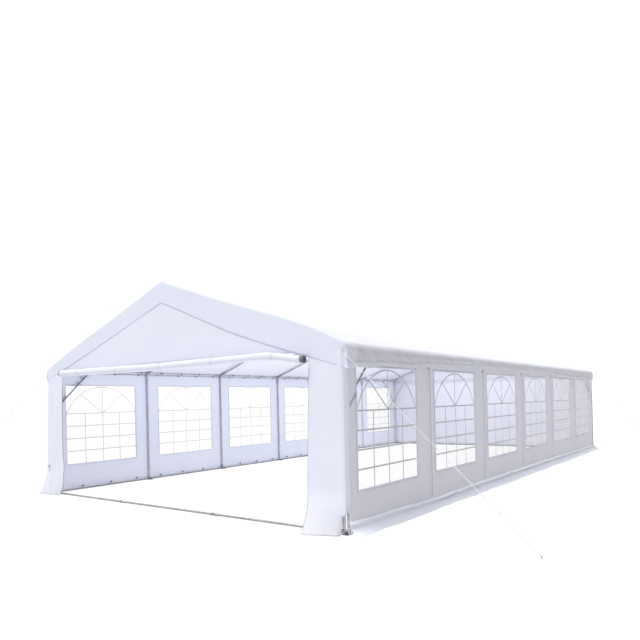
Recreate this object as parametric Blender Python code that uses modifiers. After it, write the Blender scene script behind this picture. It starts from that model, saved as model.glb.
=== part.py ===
"""Marquee tent with an open front gable: a steel tube frame under white sheeting.

Metres, +Z up. The origin is on the ground at the middle of the footprint, the front gable
faces -Y and the ridge runs along Y. "Right" is the +X side.
"""

import math

import bmesh
import bpy
from mathutils import Matrix, Vector

# Overall size, measured on the outside of the sheeting
TENT_WIDTH = 6.0
TENT_LENGTH = 11.7
BAYS = 6
EAVE_HEIGHT = 2.06
RIDGE_HEIGHT = 3.125

# Sheeting
CLOTH = 0.003
GAP = 0.0003  # left between pieces that touch
FASCIA_DEPTH = 0.305  # plumb depth of the strip along the rakes, at the ridge
FASCIA_HEMS = {"front": (1.87, 1.77), "back": (1.83, 1.83)}  # its heights at the left and right corner
VALANCE_HEM = 1.83  # height of the hem of the strip along the eaves
WALL_TOP = 2.035
WALL_BOTTOM = 0.012
GABLE_BASE = 1.985

# Windows of the walls, one in each bay
WINDOW_WIDTH = 1.40
WINDOW_BOTTOM = 0.455
WINDOW_TOP = 1.785
WINDOW_SHIFT = {"right": -0.10, "left": 0.0}  # of the windows along the tent from the middle of their bays
FILM = 0.0012
FILM_MARGIN = 0.04  # how far the clear film laps behind the sheeting

# Mud flaps round the foot of the walls
SKIRT_TOP = 0.13
SKIRT_FLARE = 0.17

# Curtains beside the open front
LEG_TOP = 1.98
LEG_TOP_WIDTH = 0.475
LEG_FOLD = 0.30  # height below which the foot flares forward
LEG_FOLD_WIDTH = 0.535
LEG_FOLD_STEPS = 3
LEG_HEMS = {  # inner and outer corner of the hem: from the tent's middle, and forward of its front
    "right": ((2.60, 0.275), (2.99, 0.155)),
    "left": ((2.62, 0.055), (2.98, 0.135)),
}

# Door wall rolled up at the top of the open front
ROLL_RADIUS = 0.054
ROLL_LEFT = -2.5
ROLL_RIGHT = 2.53
ROLL_HEIGHT = 1.972
ROLL_SAG = 0.02  # at its middle
ROLL_DROOP = 0.07  # how far its free right end hangs
ROLL_TIE = 2.03  # where the last tie holds it, beyond which it droops

# Steel tubes
TUBE_RADIUS = 0.016
FITTING_RADIUS = 0.0205
FITTING_LENGTH = 0.08
BORE_RADIUS = 0.0168
GROUND_RADIUS = 0.014
BRACE_RADIUS = 0.0125
BRACE_REACH = 0.70
BEAM_DROP = 0.085  # of the cross beams below the eave rails
FOOT_SIZE = 0.10
FOOT_THICKNESS = 0.005
TUBE_SIDES = 16

# Guys: a taut rope from each corner to a peg, given as the peg's place for each corner
ROPE_RADIUS = 0.004
GUY_HEIGHT = 1.95
GUY_INSET = 0.01  # its line passes this far inside the corner of the sheeting
PEG_RADIUS = 0.007
PEG_HEIGHT = 0.035
GUY_PEGS = {
    "front_right": (4.95, -5.72),
    "front_left": (-4.5, -6.98),
    "back_right": (4.33, 6.98),
    "back_left": (-4.95, 6.6),
}

# Worked out from the sizes above
HALF_WIDTH = TENT_WIDTH / 2
HALF_LENGTH = TENT_LENGTH / 2
PITCH = math.atan2(RIDGE_HEIGHT - EAVE_HEIGHT, HALF_WIDTH)
RISE = math.tan(PITCH)
CLOTH_DROP = CLOTH / math.cos(PITCH)
WALL_OUTSIDE = HALF_WIDTH - CLOTH - GAP
WALL_INSIDE = WALL_OUTSIDE - CLOTH
POST_X = WALL_INSIDE - GAP - FITTING_RADIUS
GABLE_OUTSIDE = HALF_LENGTH - CLOTH - GAP
GABLE_INSIDE = GABLE_OUTSIDE - CLOTH
FRAME_END = GABLE_INSIDE - GAP
POST_Y = FRAME_END - FITTING_LENGTH / 2
TUBE_DROP = (CLOTH + GAP + FITTING_RADIUS) / math.cos(PITCH)
RIDGE_Z = RIDGE_HEIGHT - TUBE_DROP
EAVE_Z = RIDGE_Z - RISE * POST_X
BEAM_Z = EAVE_Z - BEAM_DROP
GROUND_Z = FOOT_THICKNESS + GAP + GROUND_RADIUS
BAY = 2 * POST_Y / BAYS
SIDES = {"right": 1, "left": -1}
ENDS = {"front": -1, "back": 1}


def make_collection(name, hidden=False):
    collection = bpy.data.collections.new(name)
    bpy.context.scene.collection.children.link(collection)
    collection.hide_render = hidden
    return collection


def make_material(name, color, roughness, metallic=0.0, alpha=1.0):
    material = bpy.data.materials.new(name)
    material.use_nodes = True
    shader = material.node_tree.nodes["Principled BSDF"]
    shader.inputs["Base Color"].default_value = (*color, 1.0)
    shader.inputs["Roughness"].default_value = roughness
    shader.inputs["Metallic"].default_value = metallic
    shader.inputs["Alpha"].default_value = alpha
    material.diffuse_color = (*color, alpha)
    return material


def add_part(name, data, material):
    """A finished piece in the tent's collection, with its own copy of the material."""
    part = bpy.data.objects.new(name, data)
    own = material.copy()
    own.name = name + "_" + material.name
    data.materials.append(own)
    parts.objects.link(part)
    part.parent = root
    return part


def add_cutter(name, data):
    cutter = bpy.data.objects.new(name, data)
    cutter.display_type = "WIRE"
    cutter.hide_render = True
    cutters.objects.link(cutter)
    return cutter


def combine(part, cutter, operation):
    modifier = part.modifiers.new(cutter.name, "BOOLEAN")
    modifier.object = cutter
    modifier.operation = operation
    modifier.solver = "EXACT"


def rod_mesh(name, radius, length, sides=TUBE_SIDES):
    """A cylinder along Z, centred on its origin."""
    shape = bmesh.new()
    bmesh.ops.create_cone(
        shape, cap_ends=True, segments=sides, radius1=radius, radius2=radius, depth=length
    )
    mesh = bpy.data.meshes.new(name)
    shape.to_mesh(mesh)
    shape.free()
    mesh.shade_smooth()
    mesh.set_sharp_from_angle(angle=math.radians(40))
    return mesh


def box_mesh(name, size_x, size_y, size_z):
    shape = bmesh.new()
    bmesh.ops.create_cube(shape, size=1.0, matrix=Matrix.Diagonal((size_x, size_y, size_z, 1.0)))
    mesh = bpy.data.meshes.new(name)
    shape.to_mesh(mesh)
    shape.free()
    return mesh


def aim(item, start, end):
    """Lays an object whose length is along Z between two points."""
    start, end = Vector(start), Vector(end)
    item.location = (start + end) / 2
    item.rotation_mode = "QUATERNION"
    item.rotation_quaternion = (end - start).to_track_quat("Z", "Y")


def rod_cutter(name, start, end, radius):
    length = (Vector(end) - Vector(start)).length
    cutter = add_cutter(name, rod_mesh(name, radius, length))
    aim(cutter, start, end)
    return cutter


def add_tube(name, points, radius, material, resolution=4):
    """A round bar along straight runs, as a bevelled curve with closed ends."""
    curve = bpy.data.curves.new(name, "CURVE")
    curve.dimensions = "3D"
    curve.bevel_depth = radius
    curve.bevel_resolution = resolution
    curve.use_fill_caps = True
    spline = curve.splines.new("POLY")
    spline.points.add(len(points) - 1)
    for point, place in zip(spline.points, points):
        point.co = (*place, 1.0)
    return add_part(name, curve, material)


def outline_curve(name, outline, thickness):
    """A flat outline in the curve's XY plane, given a thickness that is centred on it."""
    curve = bpy.data.curves.new(name, "CURVE")
    curve.dimensions = "2D"
    curve.fill_mode = "BOTH"
    curve.extrude = thickness / 2
    spline = curve.splines.new("POLY")
    spline.points.add(len(outline) - 1)
    for point, (x, y) in zip(spline.points, outline):
        point.co = (x, y, 0.0, 1.0)
    spline.use_cyclic_u = True
    return curve


def across(y):
    """Stands an XY outline up in the XZ plane at a given y."""
    return Matrix.Translation((0, y, 0)) @ Matrix.Rotation(math.pi / 2, 4, "X")


def along(x):
    """Stands an XY outline up in the YZ plane at a given x, so its X runs along Y."""
    return Matrix.Translation((x, 0, 0)) @ Matrix(
        ((0, 0, 1, 0), (1, 0, 0, 0), (0, 1, 0, 0), (0, 0, 0, 1))
    )


def plate_mesh(name, outline, thickness, placement):
    """The outline as a closed mesh, stood up by its placement."""
    curve = outline_curve(name, outline, thickness)
    temporary = bpy.data.objects.new(name + "_outline", curve)
    cutters.objects.link(temporary)
    temporary.matrix_world = placement
    bpy.context.view_layer.update()
    evaluated = temporary.evaluated_get(bpy.context.evaluated_depsgraph_get())
    mesh = bpy.data.meshes.new_from_object(evaluated)
    mesh.name = name
    shape = bmesh.new()
    shape.from_mesh(mesh)
    bmesh.ops.remove_doubles(shape, verts=shape.verts, dist=0.0001)
    bmesh.ops.recalc_face_normals(shape, faces=shape.faces)
    shape.to_mesh(mesh)
    shape.free()
    bpy.data.objects.remove(temporary)
    bpy.data.curves.remove(curve)
    return mesh


def add_plate(name, outline, thickness, placement, material):
    part = add_part(name, plate_mesh(name, outline, thickness, placement), material)
    part.matrix_world = placement
    return part


def plate_cutter(name, outline, thickness, placement):
    cutter = add_cutter(name, plate_mesh(name, outline, thickness, placement))
    cutter.matrix_world = placement
    return cutter


def post_y(number):
    """The place of a post along the tent; number 1 is at the front."""
    return -POST_Y + BAY * (number - 1)


def add_post(side, number):
    """A post on its foot plate, with the fitting that holds the eave rail."""
    name = f"{side}_post_{number}"
    x, y = SIDES[side] * POST_X, post_y(number)
    height = EAVE_Z - FOOT_THICKNESS / 2
    post = add_part(name, rod_mesh(name, TUBE_RADIUS, height), steel)
    post.location = (x, y, FOOT_THICKNESS / 2 + height / 2)

    foot = add_cutter(name + "_foot", box_mesh(name + "_foot", FOOT_SIZE, FOOT_SIZE, FOOT_THICKNESS))
    foot.location = (x - SIDES[side] * FOOT_SIZE / 4, y, FOOT_THICKNESS / 2)
    combine(post, foot, "UNION")

    ends = (x, y - FITTING_LENGTH / 2, EAVE_Z), (x, y + FITTING_LENGTH / 2, EAVE_Z)
    combine(post, rod_cutter(name + "_fitting", *ends, FITTING_RADIUS), "UNION")
    beyond = (x, y - FITTING_LENGTH, EAVE_Z), (x, y + FITTING_LENGTH, EAVE_Z)
    combine(post, rod_cutter(name + "_bore", *beyond, BORE_RADIUS), "DIFFERENCE")


def add_rafter_pair(number):
    """Two rafters that meet in a fitting round the ridge pole."""
    name = f"rafter_pair_{number}"
    y = post_y(number)
    foot = Vector((POST_X, y, EAVE_Z))
    ridge = Vector((0, y, RIDGE_Z))
    reach = FITTING_RADIUS + GAP
    slope = (ridge - foot).normalized()
    start = foot + slope * reach
    length = (ridge - start).length

    pair = add_part(name, rod_mesh(name, TUBE_RADIUS, length), steel)
    aim(pair, start, ridge)
    mirror = Vector((-1, 1, 1))
    left = rod_cutter(name + "_left", start * mirror, ridge, TUBE_RADIUS)
    combine(pair, left, "UNION")

    ends = (0, y - FITTING_LENGTH / 2, RIDGE_Z), (0, y + FITTING_LENGTH / 2, RIDGE_Z)
    combine(pair, rod_cutter(name + "_fitting", *ends, FITTING_RADIUS), "UNION")
    beyond = (0, y - FITTING_LENGTH, RIDGE_Z), (0, y + FITTING_LENGTH, RIDGE_Z)
    combine(pair, rod_cutter(name + "_bore", *beyond, BORE_RADIUS), "DIFFERENCE")
    for side in SIDES.values():
        eave = (side * POST_X, y - FITTING_LENGTH, EAVE_Z), (side * POST_X, y + FITTING_LENGTH, EAVE_Z)
        notch = rod_cutter(f"{name}_notch_{side}", *eave, reach)
        combine(pair, notch, "DIFFERENCE")


def add_long_tubes():
    add_tube("ridge_pole", [(0, -FRAME_END, RIDGE_Z), (0, FRAME_END, RIDGE_Z)], TUBE_RADIUS, steel)
    inside = POST_X - TUBE_RADIUS - GROUND_RADIUS - GAP
    for side, sign in SIDES.items():
        x = sign * POST_X
        rail = [(x, -FRAME_END, EAVE_Z), (x, FRAME_END, EAVE_Z)]
        add_tube(f"{side}_eave_rail", rail, TUBE_RADIUS, steel)
        ground = [(sign * inside, -FRAME_END, GROUND_Z), (sign * inside, FRAME_END, GROUND_Z)]
        add_tube(f"{side}_ground_rail", ground, GROUND_RADIUS, steel)
    for end, sign in ENDS.items():
        y = sign * POST_Y
        beam_end = POST_X - TUBE_RADIUS - GAP
        beam = [(-beam_end, y, BEAM_Z), (beam_end, y, BEAM_Z)]
        add_tube(f"{end}_cross_beam", beam, TUBE_RADIUS, steel)
        bar_end = inside - GROUND_RADIUS - GAP
        bar = [(-bar_end, y, GROUND_Z), (bar_end, y, GROUND_Z)]
        add_tube(f"{end}_ground_bar", bar, GROUND_RADIUS, steel)


def add_brace(end, side):
    """A strut from a corner post up to the eave rail, bolted on their inner side."""
    x = SIDES[side] * (POST_X - TUBE_RADIUS - GAP - BRACE_RADIUS)
    y = ENDS[end] * POST_Y
    low = (x, y, EAVE_Z - BRACE_REACH)
    high = (x, y - ENDS[end] * BRACE_REACH, EAVE_Z)
    add_tube(f"{end}_{side}_brace", [low, high], BRACE_RADIUS, steel)


def roof_outline(inset, base):
    """The end view of the roof, set in by a distance from the sides and the slopes."""
    half = HALF_WIDTH - inset
    drop = inset / math.cos(PITCH)
    peak = RIDGE_HEIGHT - drop
    eave = peak - RISE * half
    return [(-half, base), (half, base), (half, eave), (0, peak), (-half, eave)]


def add_roof_cover():
    """One cover: two slopes, valances along the eaves and fascias along the rakes."""
    lowest = min(VALANCE_HEM, *FASCIA_HEMS["front"], *FASCIA_HEMS["back"])
    cover = add_plate("roof_cover", roof_outline(0, lowest), TENT_LENGTH, across(0), cloth)
    below = lowest - 1
    length = TENT_LENGTH - 2 * CLOTH
    hollow = plate_cutter("roof_hollow", roof_outline(CLOTH, below), length, across(0))
    combine(cover, hollow, "DIFFERENCE")

    wide = HALF_WIDTH + CLOTH
    under_valance = [(-wide, below), (wide, below), (wide, VALANCE_HEM), (-wide, VALANCE_HEM)]
    combine(cover, plate_cutter("valance_hems", under_valance, length, across(0)), "DIFFERENCE")
    peak = RIDGE_HEIGHT - FASCIA_DEPTH
    for end, (left, right) in FASCIA_HEMS.items():
        under = [(-wide, below), (wide, below), (wide, right), (0, peak), (-wide, left)]
        y = ENDS[end] * HALF_LENGTH
        combine(cover, plate_cutter(f"{end}_fascia_hem", under, 2 * CLOTH, across(y)), "DIFFERENCE")


def add_gable(end):
    """The triangle of sheeting behind a fascia, down to the cross beam."""
    half = WALL_INSIDE - GAP
    peak = RIDGE_HEIGHT - CLOTH_DROP - GAP / math.cos(PITCH)
    corner = peak - RISE * half
    outline = [(-half, GABLE_BASE), (half, GABLE_BASE), (half, corner), (0, peak), (-half, corner)]
    y = ENDS[end] * (GABLE_OUTSIDE + GABLE_INSIDE) / 2
    add_plate(f"{end}_gable", outline, CLOTH, across(y), cloth)


def window_middles(side):
    """The middle of each window along a side wall."""
    return [post_y(number) + BAY / 2 + WINDOW_SHIFT[side] for number in range(1, BAYS + 1)]


def window_sheet(half, margin):
    """A rectangle as tall as the windows and a margin all round, half as wide as given."""
    low, high = WINDOW_BOTTOM - margin, WINDOW_TOP + margin
    half += margin
    return [(-half, low), (half, low), (half, high), (-half, high)]


def cut_windows(wall, side):
    """Cuts the windows of a side wall, whose own X runs along the tent."""
    outline = window_sheet(WINDOW_WIDTH / 2, 0)
    for number, middle in enumerate(window_middles(side), 1):
        shifted = [(middle + x, z) for x, z in outline]
        cutter = plate_cutter(f"{wall.name}_window_{number}", shifted, 10 * CLOTH, wall.matrix_world)
        combine(wall, cutter, "DIFFERENCE")


def flap_outline(root_x, sign):
    """A mud flap in section: its top lies against the wall and its hem on the ground."""
    lean = math.atan2(SKIRT_TOP, SKIRT_FLARE)
    foot = CLOTH / math.sin(lean)
    hem = root_x + sign * SKIRT_FLARE
    top = CLOTH / math.cos(lean)
    return [(root_x, SKIRT_TOP - top), (hem - sign * foot, 0), (hem, 0), (root_x, SKIRT_TOP)]


def add_side_wall(side):
    """A side wall with its windows, the film behind them and its mud flap."""
    sign = SIDES[side]
    half = FRAME_END
    outline = [(-half, WALL_BOTTOM), (half, WALL_BOTTOM), (half, WALL_TOP), (-half, WALL_TOP)]
    x = sign * (WALL_OUTSIDE + WALL_INSIDE) / 2
    wall = add_plate(f"{side}_wall", outline, CLOTH, along(x), cloth)
    cut_windows(wall, side)

    film_x = sign * (WALL_INSIDE - GAP - FILM / 2)
    first, last = window_middles(side)[0], window_middles(side)[-1]
    sheet = [((first + last) / 2 + y, z) for y, z in window_sheet((last - first + WINDOW_WIDTH) / 2, FILM_MARGIN)]
    add_plate(f"{side}_windows", sheet, FILM, along(film_x), film)

    flap = flap_outline(sign * (WALL_OUTSIDE + GAP), sign)
    add_plate(f"{side}_skirt", flap, 2 * FRAME_END, across(0), cloth)


def add_back_wall():
    """The closed end: a plain wall and its mud flap."""
    half = WALL_INSIDE - GAP
    top = GABLE_BASE - GAP
    outline = [(-half, WALL_BOTTOM), (half, WALL_BOTTOM), (half, top), (-half, top)]
    y = (GABLE_OUTSIDE + GABLE_INSIDE) / 2
    add_plate("back_wall", outline, CLOTH, across(y), cloth)
    flap = flap_outline(GABLE_OUTSIDE + GAP, 1)
    add_plate("back_skirt", flap, 2 * half, along(0), cloth)


def leg_rows(side):
    """The inner and outer edge of a front curtain, as pairs of points from its hem up to its top."""
    sign = SIDES[side]
    front = -(GABLE_OUTSIDE - CLOTH / 2)
    outer = HALF_WIDTH - CLOTH - GAP
    fold_edges = (outer - LEG_FOLD_WIDTH, outer)
    rows = []
    for step in range(LEG_FOLD_STEPS):
        fall = 1 - step / LEG_FOLD_STEPS
        row = []
        for edge, (hem_x, forward) in zip(fold_edges, LEG_HEMS[side]):
            x = edge + (hem_x - edge) * fall
            row.append((sign * x, front - forward * fall**1.5, LEG_FOLD * (1 - fall)))
        rows.append(row)
    rows.append([(sign * edge, front, LEG_FOLD) for edge in fold_edges])
    rows.append([(sign * (outer - LEG_TOP_WIDTH), front, LEG_TOP), (sign * outer, front, LEG_TOP)])
    return rows


def add_leg_panel(side):
    """A front curtain: a strip beside the corner post whose foot flares forward."""
    sign = SIDES[side]
    shape = bmesh.new()
    previous = None
    for row in leg_rows(side):
        pair = [shape.verts.new(point) for point in row]
        if previous:
            shape.faces.new((previous[0], previous[1], pair[1], pair[0]))
        previous = pair
    bmesh.ops.recalc_face_normals(shape, faces=shape.faces)
    mesh = bpy.data.meshes.new(f"front_{side}_leg_panel")
    shape.to_mesh(mesh)
    shape.free()
    panel = add_part(f"front_{side}_leg_panel", mesh, cloth)
    thickness = panel.modifiers.new("thickness", "SOLIDIFY")
    thickness.thickness = CLOTH
    thickness.offset = 0
    ground = add_cutter(f"ground_{side}", box_mesh(f"ground_{side}", TENT_WIDTH, 2, 1))
    ground.location = (sign * HALF_WIDTH, -HALF_LENGTH, -0.5)
    combine(panel, ground, "DIFFERENCE")


def add_rolled_door():
    """The door wall rolled up against the gable and the curtains; its free end droops."""
    y = -(GABLE_OUTSIDE + GAP + ROLL_RADIUS)
    middle = (ROLL_LEFT + ROLL_TIE) / 2
    places = [
        (ROLL_LEFT, y, ROLL_HEIGHT),
        (middle, y, ROLL_HEIGHT - ROLL_SAG),
        (ROLL_TIE, y, ROLL_HEIGHT),
        (ROLL_RIGHT, y, ROLL_HEIGHT - ROLL_DROOP),
    ]
    add_tube("rolled_door", places, ROLL_RADIUS, cloth)


def add_guy(corner, peg):
    """A taut rope from a roof corner down to the peg that holds it."""
    end, side = corner.split("_")
    x = SIDES[side] * (HALF_WIDTH - GUY_INSET)
    y = ENDS[end] * (HALF_LENGTH - GUY_INSET)
    corner_place = Vector((x, y, GUY_HEIGHT))
    foot = Vector((*peg, PEG_HEIGHT / 2))
    slope = (foot - corner_place).normalized()
    top = corner_place - slope * 0.05
    name = corner + "_guy"
    guy = add_part(name, rod_mesh(name, ROPE_RADIUS, (foot - top).length, 8), rope)
    aim(guy, top, foot)
    combine(guy, rod_cutter(name + "_peg", (*peg, 0), (*peg, PEG_HEIGHT), PEG_RADIUS), "UNION")
    combine(guy, tent_block, "DIFFERENCE")


for item in list(bpy.data.objects):
    bpy.data.objects.remove(item)

parts = make_collection("marquee_tent")
cutters = make_collection("marquee_tent_cutters", hidden=True)
root = bpy.data.objects.new("marquee_tent_root", None)
parts.objects.link(root)

steel = make_material("galvanised_steel", (0.46, 0.47, 0.50), 0.42, metallic=0.9)
cloth = make_material("white_sheeting", (0.86, 0.87, 0.93), 0.55)
film = make_material("clear_film", (0.93, 0.95, 0.97), 0.12, alpha=0.25)
rope = make_material("white_rope", (0.85, 0.85, 0.84), 0.8)

for side_name in SIDES:
    for post_number in range(1, BAYS + 2):
        add_post(side_name, post_number)
    for end_name in ENDS:
        add_brace(end_name, side_name)
    add_side_wall(side_name)
    add_leg_panel(side_name)
for pair_number in range(1, BAYS + 2):
    add_rafter_pair(pair_number)
add_long_tubes()
add_roof_cover()
for end_name in ENDS:
    add_gable(end_name)
add_back_wall()
add_rolled_door()
tent_block = add_cutter(
    "tent_block", box_mesh("tent_block", TENT_WIDTH + 2 * GAP, TENT_LENGTH + 2 * GAP, 2 * RIDGE_HEIGHT)
)
for corner_name, peg_place in GUY_PEGS.items():
    add_guy(corner_name, peg_place)
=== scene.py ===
# Looks of the marquee tent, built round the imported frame.
# Metres, +Z up. The open gable faces -Y, the ridge runs along Y, the right side is +X.
import math

import bpy
import numpy as np
from mathutils import Matrix, Vector


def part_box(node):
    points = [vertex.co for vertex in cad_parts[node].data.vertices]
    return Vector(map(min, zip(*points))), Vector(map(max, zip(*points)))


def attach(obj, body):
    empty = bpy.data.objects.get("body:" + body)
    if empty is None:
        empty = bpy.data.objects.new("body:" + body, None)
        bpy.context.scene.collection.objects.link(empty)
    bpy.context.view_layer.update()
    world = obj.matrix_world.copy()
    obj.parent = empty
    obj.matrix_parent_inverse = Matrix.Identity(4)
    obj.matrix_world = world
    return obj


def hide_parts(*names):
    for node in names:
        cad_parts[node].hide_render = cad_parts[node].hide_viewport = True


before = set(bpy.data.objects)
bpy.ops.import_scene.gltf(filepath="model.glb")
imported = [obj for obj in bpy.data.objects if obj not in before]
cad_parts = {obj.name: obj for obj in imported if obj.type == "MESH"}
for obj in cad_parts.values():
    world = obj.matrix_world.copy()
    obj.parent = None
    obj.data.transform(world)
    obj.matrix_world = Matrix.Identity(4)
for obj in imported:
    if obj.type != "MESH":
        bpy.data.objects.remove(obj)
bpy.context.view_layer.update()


# Sizes read from the frame

def boxOf(node):
    # Low and high corner of a node's box.
    return [np.array(corner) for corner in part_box(node)]


def middleOf(node):
    low, high = boxOf(node)
    return (low + high) / 2


halfWidth, tentEnd = boxOf("roof_cover")[1][:2]
railMiddle, ridgeMiddle = middleOf("right_eave_rail"), middleOf("ridge_pole")
groundRail, groundBar = middleOf("right_ground_rail"), middleOf("front_ground_bar")
wallLow, wallHigh = boxOf("right_wall")
postLines = np.array([middleOf(f"right_post_{number}")[1] for number in range(1, 8)])
bay = postLines[1] - postLines[0]
rise = (ridgeMiddle[2] - railMiddle[2]) / railMiddle[0]
pitch = math.atan(rise)
tubeRadius = boxOf("right_eave_rail")[1][2] - railMiddle[2]
sides = {"right": 1, "left": -1}
ends = {"front": -1, "back": 1}
corners = {
    "radius": {1: 0.075, -1: 0.035},  # of the sheeting at the right and the left corners
    "foot": (0.20, 0.27),  # between these heights the right ones turn round
    "eave": (1.97, 2.035),  # and between these all of them turn square again
}


# Shapes as arrays

def ease(value, low, high):
    # 0 below low, 1 above high, and a smooth S curve between.
    share = np.clip((value - low) / (high - low), 0, 1)
    return share * share * (3 - 2 * share)


def hump(value, middle, width):
    # A bell curve that is 1 at its middle.
    return np.exp(-(((value - middle) / width) ** 2))


def unevenness(u, v, size, seed, waves=6):
    # About -1 to 1: plane waves some size long, each turned and shifted by chance, added up.
    dice = np.random.default_rng(seed)
    total = np.zeros(np.broadcast(u, v).shape)
    for _ in range(waves):
        turn, phase = dice.uniform(0, 2 * np.pi, 2)
        beat = 2 * np.pi / (size * dice.uniform(0.7, 1.5))
        total = total + np.sin((u * np.cos(turn) + v * np.sin(turn)) * beat + phase)
    return total / (1.5 * math.sqrt(waves))


def smoothed(spots, reach, places, values, steps):
    # Straight runs between given places, rounded off by averaging over the reach to both sides.
    nearby = spots[..., None] + np.linspace(-reach, reach, steps)
    return np.interp(nearby, places, values).mean(axis=-1)


def unit(vectors):
    # Vectors divided by their own lengths.
    return vectors / np.linalg.norm(vectors, axis=-1, keepdims=True)


def circle(steps):
    # The turns of a full circle in even steps.
    return np.linspace(0, 2 * np.pi, steps, endpoint=False)


def betweenPosts(y):
    # 0 at each post line and beyond the end posts, 1 half way between two posts.
    inside = np.clip(y, postLines[0], postLines[-1])
    return np.sin(np.pi * (inside - postLines[0]) / bay) ** 2


def gridOf(x, y, z):
    # Points from X, Y and Z that may each be a number, a row, a column or a grid.
    return np.stack(np.broadcast_arrays(x, y, z), -1)


def gridFaces(rows, columns, closedRows=False, closedColumns=False):
    # Quads between neighbours of a grid whose points are numbered row by row.
    row = np.arange(rows if closedRows else rows - 1)[:, None]
    column = np.arange(columns if closedColumns else columns - 1)[None, :]
    below, beside = (row + 1) % rows, (column + 1) % columns
    quad = [row * columns + column, row * columns + beside, below * columns + beside,
            below * columns + column]
    return np.stack(np.broadcast_arrays(*quad), -1).reshape(-1, 4)


def shapeOf(grid, closedRows=False, closedColumns=False):
    # The points and the faces of a grid.
    return grid.reshape(-1, 3), gridFaces(*grid.shape[:2], closedRows, closedColumns)


def roundCorners(grid):
    # Seen from above, each square corner of the sheeting becomes a quarter circle: a point at (u, v) in the
    # square goes to u times the root of 1 - v*v/2, and likewise for v, and what stands proud of the square
    # keeps its distance. It fades out near the ground on the right and at the eave.
    rounded = grid.copy()
    x, y, z = np.moveaxis(grid, -1, 0)
    radius = np.where(x > 0, corners["radius"][1], corners["radius"][-1])
    u, v = (np.abs(x) - halfWidth) / radius + 1, (np.abs(y) - tentEnd) / radius + 1
    low = np.where(x > 0, ease(z, *corners["foot"]), 1.0)
    share = low * (1 - ease(z, *corners["eave"])) * ((u > 0) & (v > 0))
    insideU, insideV = np.clip(u, 0, 1), np.clip(v, 0, 1)
    newU = insideU * np.sqrt(1 - insideV ** 2 / 2) + u - insideU
    newV = insideV * np.sqrt(1 - insideU ** 2 / 2) + v - insideV
    rounded[..., 0] += np.sign(x) * share * (newU - u) * radius
    rounded[..., 1] += np.sign(y) * share * (newV - v) * radius
    return rounded


def joined(parts):
    # Point and face arrays put one after another, as one pair of arrays.
    points = np.concatenate([part[0] for part in parts])
    starts = np.cumsum([0] + [len(part[0]) for part in parts[:-1]])
    faces = np.concatenate([part[1] + start for part, start in zip(parts, starts)])
    return points, faces


def copies(shape, places):
    # A shape of points and faces, once at each place.
    points, faces = shape
    places = np.atleast_2d(places)
    allPoints = (places[:, None, :] + points[None]).reshape(-1, 3)
    allFaces = (faces[None] + np.arange(len(places))[:, None, None] * len(points)).reshape(-1, faces.shape[1])
    return allPoints, allFaces


def crossAxes(along):
    # Unit vectors across one direction, or across a path's directions, the second as upright as it can be.
    steep = np.abs(along[..., 2]).max() > 0.9
    across = unit(np.cross(along, (0, 1.0, 0) if steep else (0, 0, 1.0)))
    return across, np.cross(across, along)


def circlesAlong(path, radii, axes, steps):
    # Circles of these radii round the points of a path, in the plane of two axes.
    turn = circle(steps)[:, None, None]
    outward = np.cos(turn) * axes[0] + np.sin(turn) * axes[1]
    return shapeOf(path[None] + radii[None, :, None] * outward, True)


def sweep(path, radius, steps=8):
    # A round cord or wire along a path, drawn to a point at both ends.
    radii = np.full(len(path), radius)
    radii[[0, -1]] = 0
    return circlesAlong(path, radii, crossAxes(unit(np.gradient(path, axis=0))), steps)


def tube(start, end, radius, steps=14, lip=0.0, inner=0.0):
    # A sleeve or rod between two points: rounded lips, and closed ends or an open bore of the inner radius.
    start, end = np.array(start, float), np.array(end, float)
    length, lip = np.linalg.norm(end - start), lip or radius * 0.12
    stations = np.array([1e-5, 0, lip, length - lip, length, length - 1e-5])
    radii = np.array([inner, radius - lip, radius, radius, radius - lip, inner])
    direction = (end - start) / length
    return circlesAlong(start + direction * stations[:, None], radii, crossAxes(direction), steps)


def ring(middle, across, upward, sizes, thickness, steps=18, around=6):
    # A link: an ellipse of the two sizes, with a round section of that thickness.
    turn, section = circle(steps)[:, None], circle(around)[None, :, None]
    across, upward = np.array(across, float), np.array(upward, float)
    outward = sizes[0] * np.cos(turn) * across + sizes[1] * np.sin(turn) * upward
    rim = np.cos(section) * unit(outward)[:, None] + np.sin(section) * np.cross(across, upward)
    return shapeOf((np.array(middle) + outward)[:, None] + thickness * rim, True, True)


def ballShape(radius, steps=10):
    # A ball: circles of a half sine's radii stacked along Z.
    polar = np.linspace(0, np.pi, steps)
    return circlesAlong(gridOf(0, 0, -radius * np.cos(polar)), radius * np.sin(polar), np.eye(3)[:2], 12)


# Making objects


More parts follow.
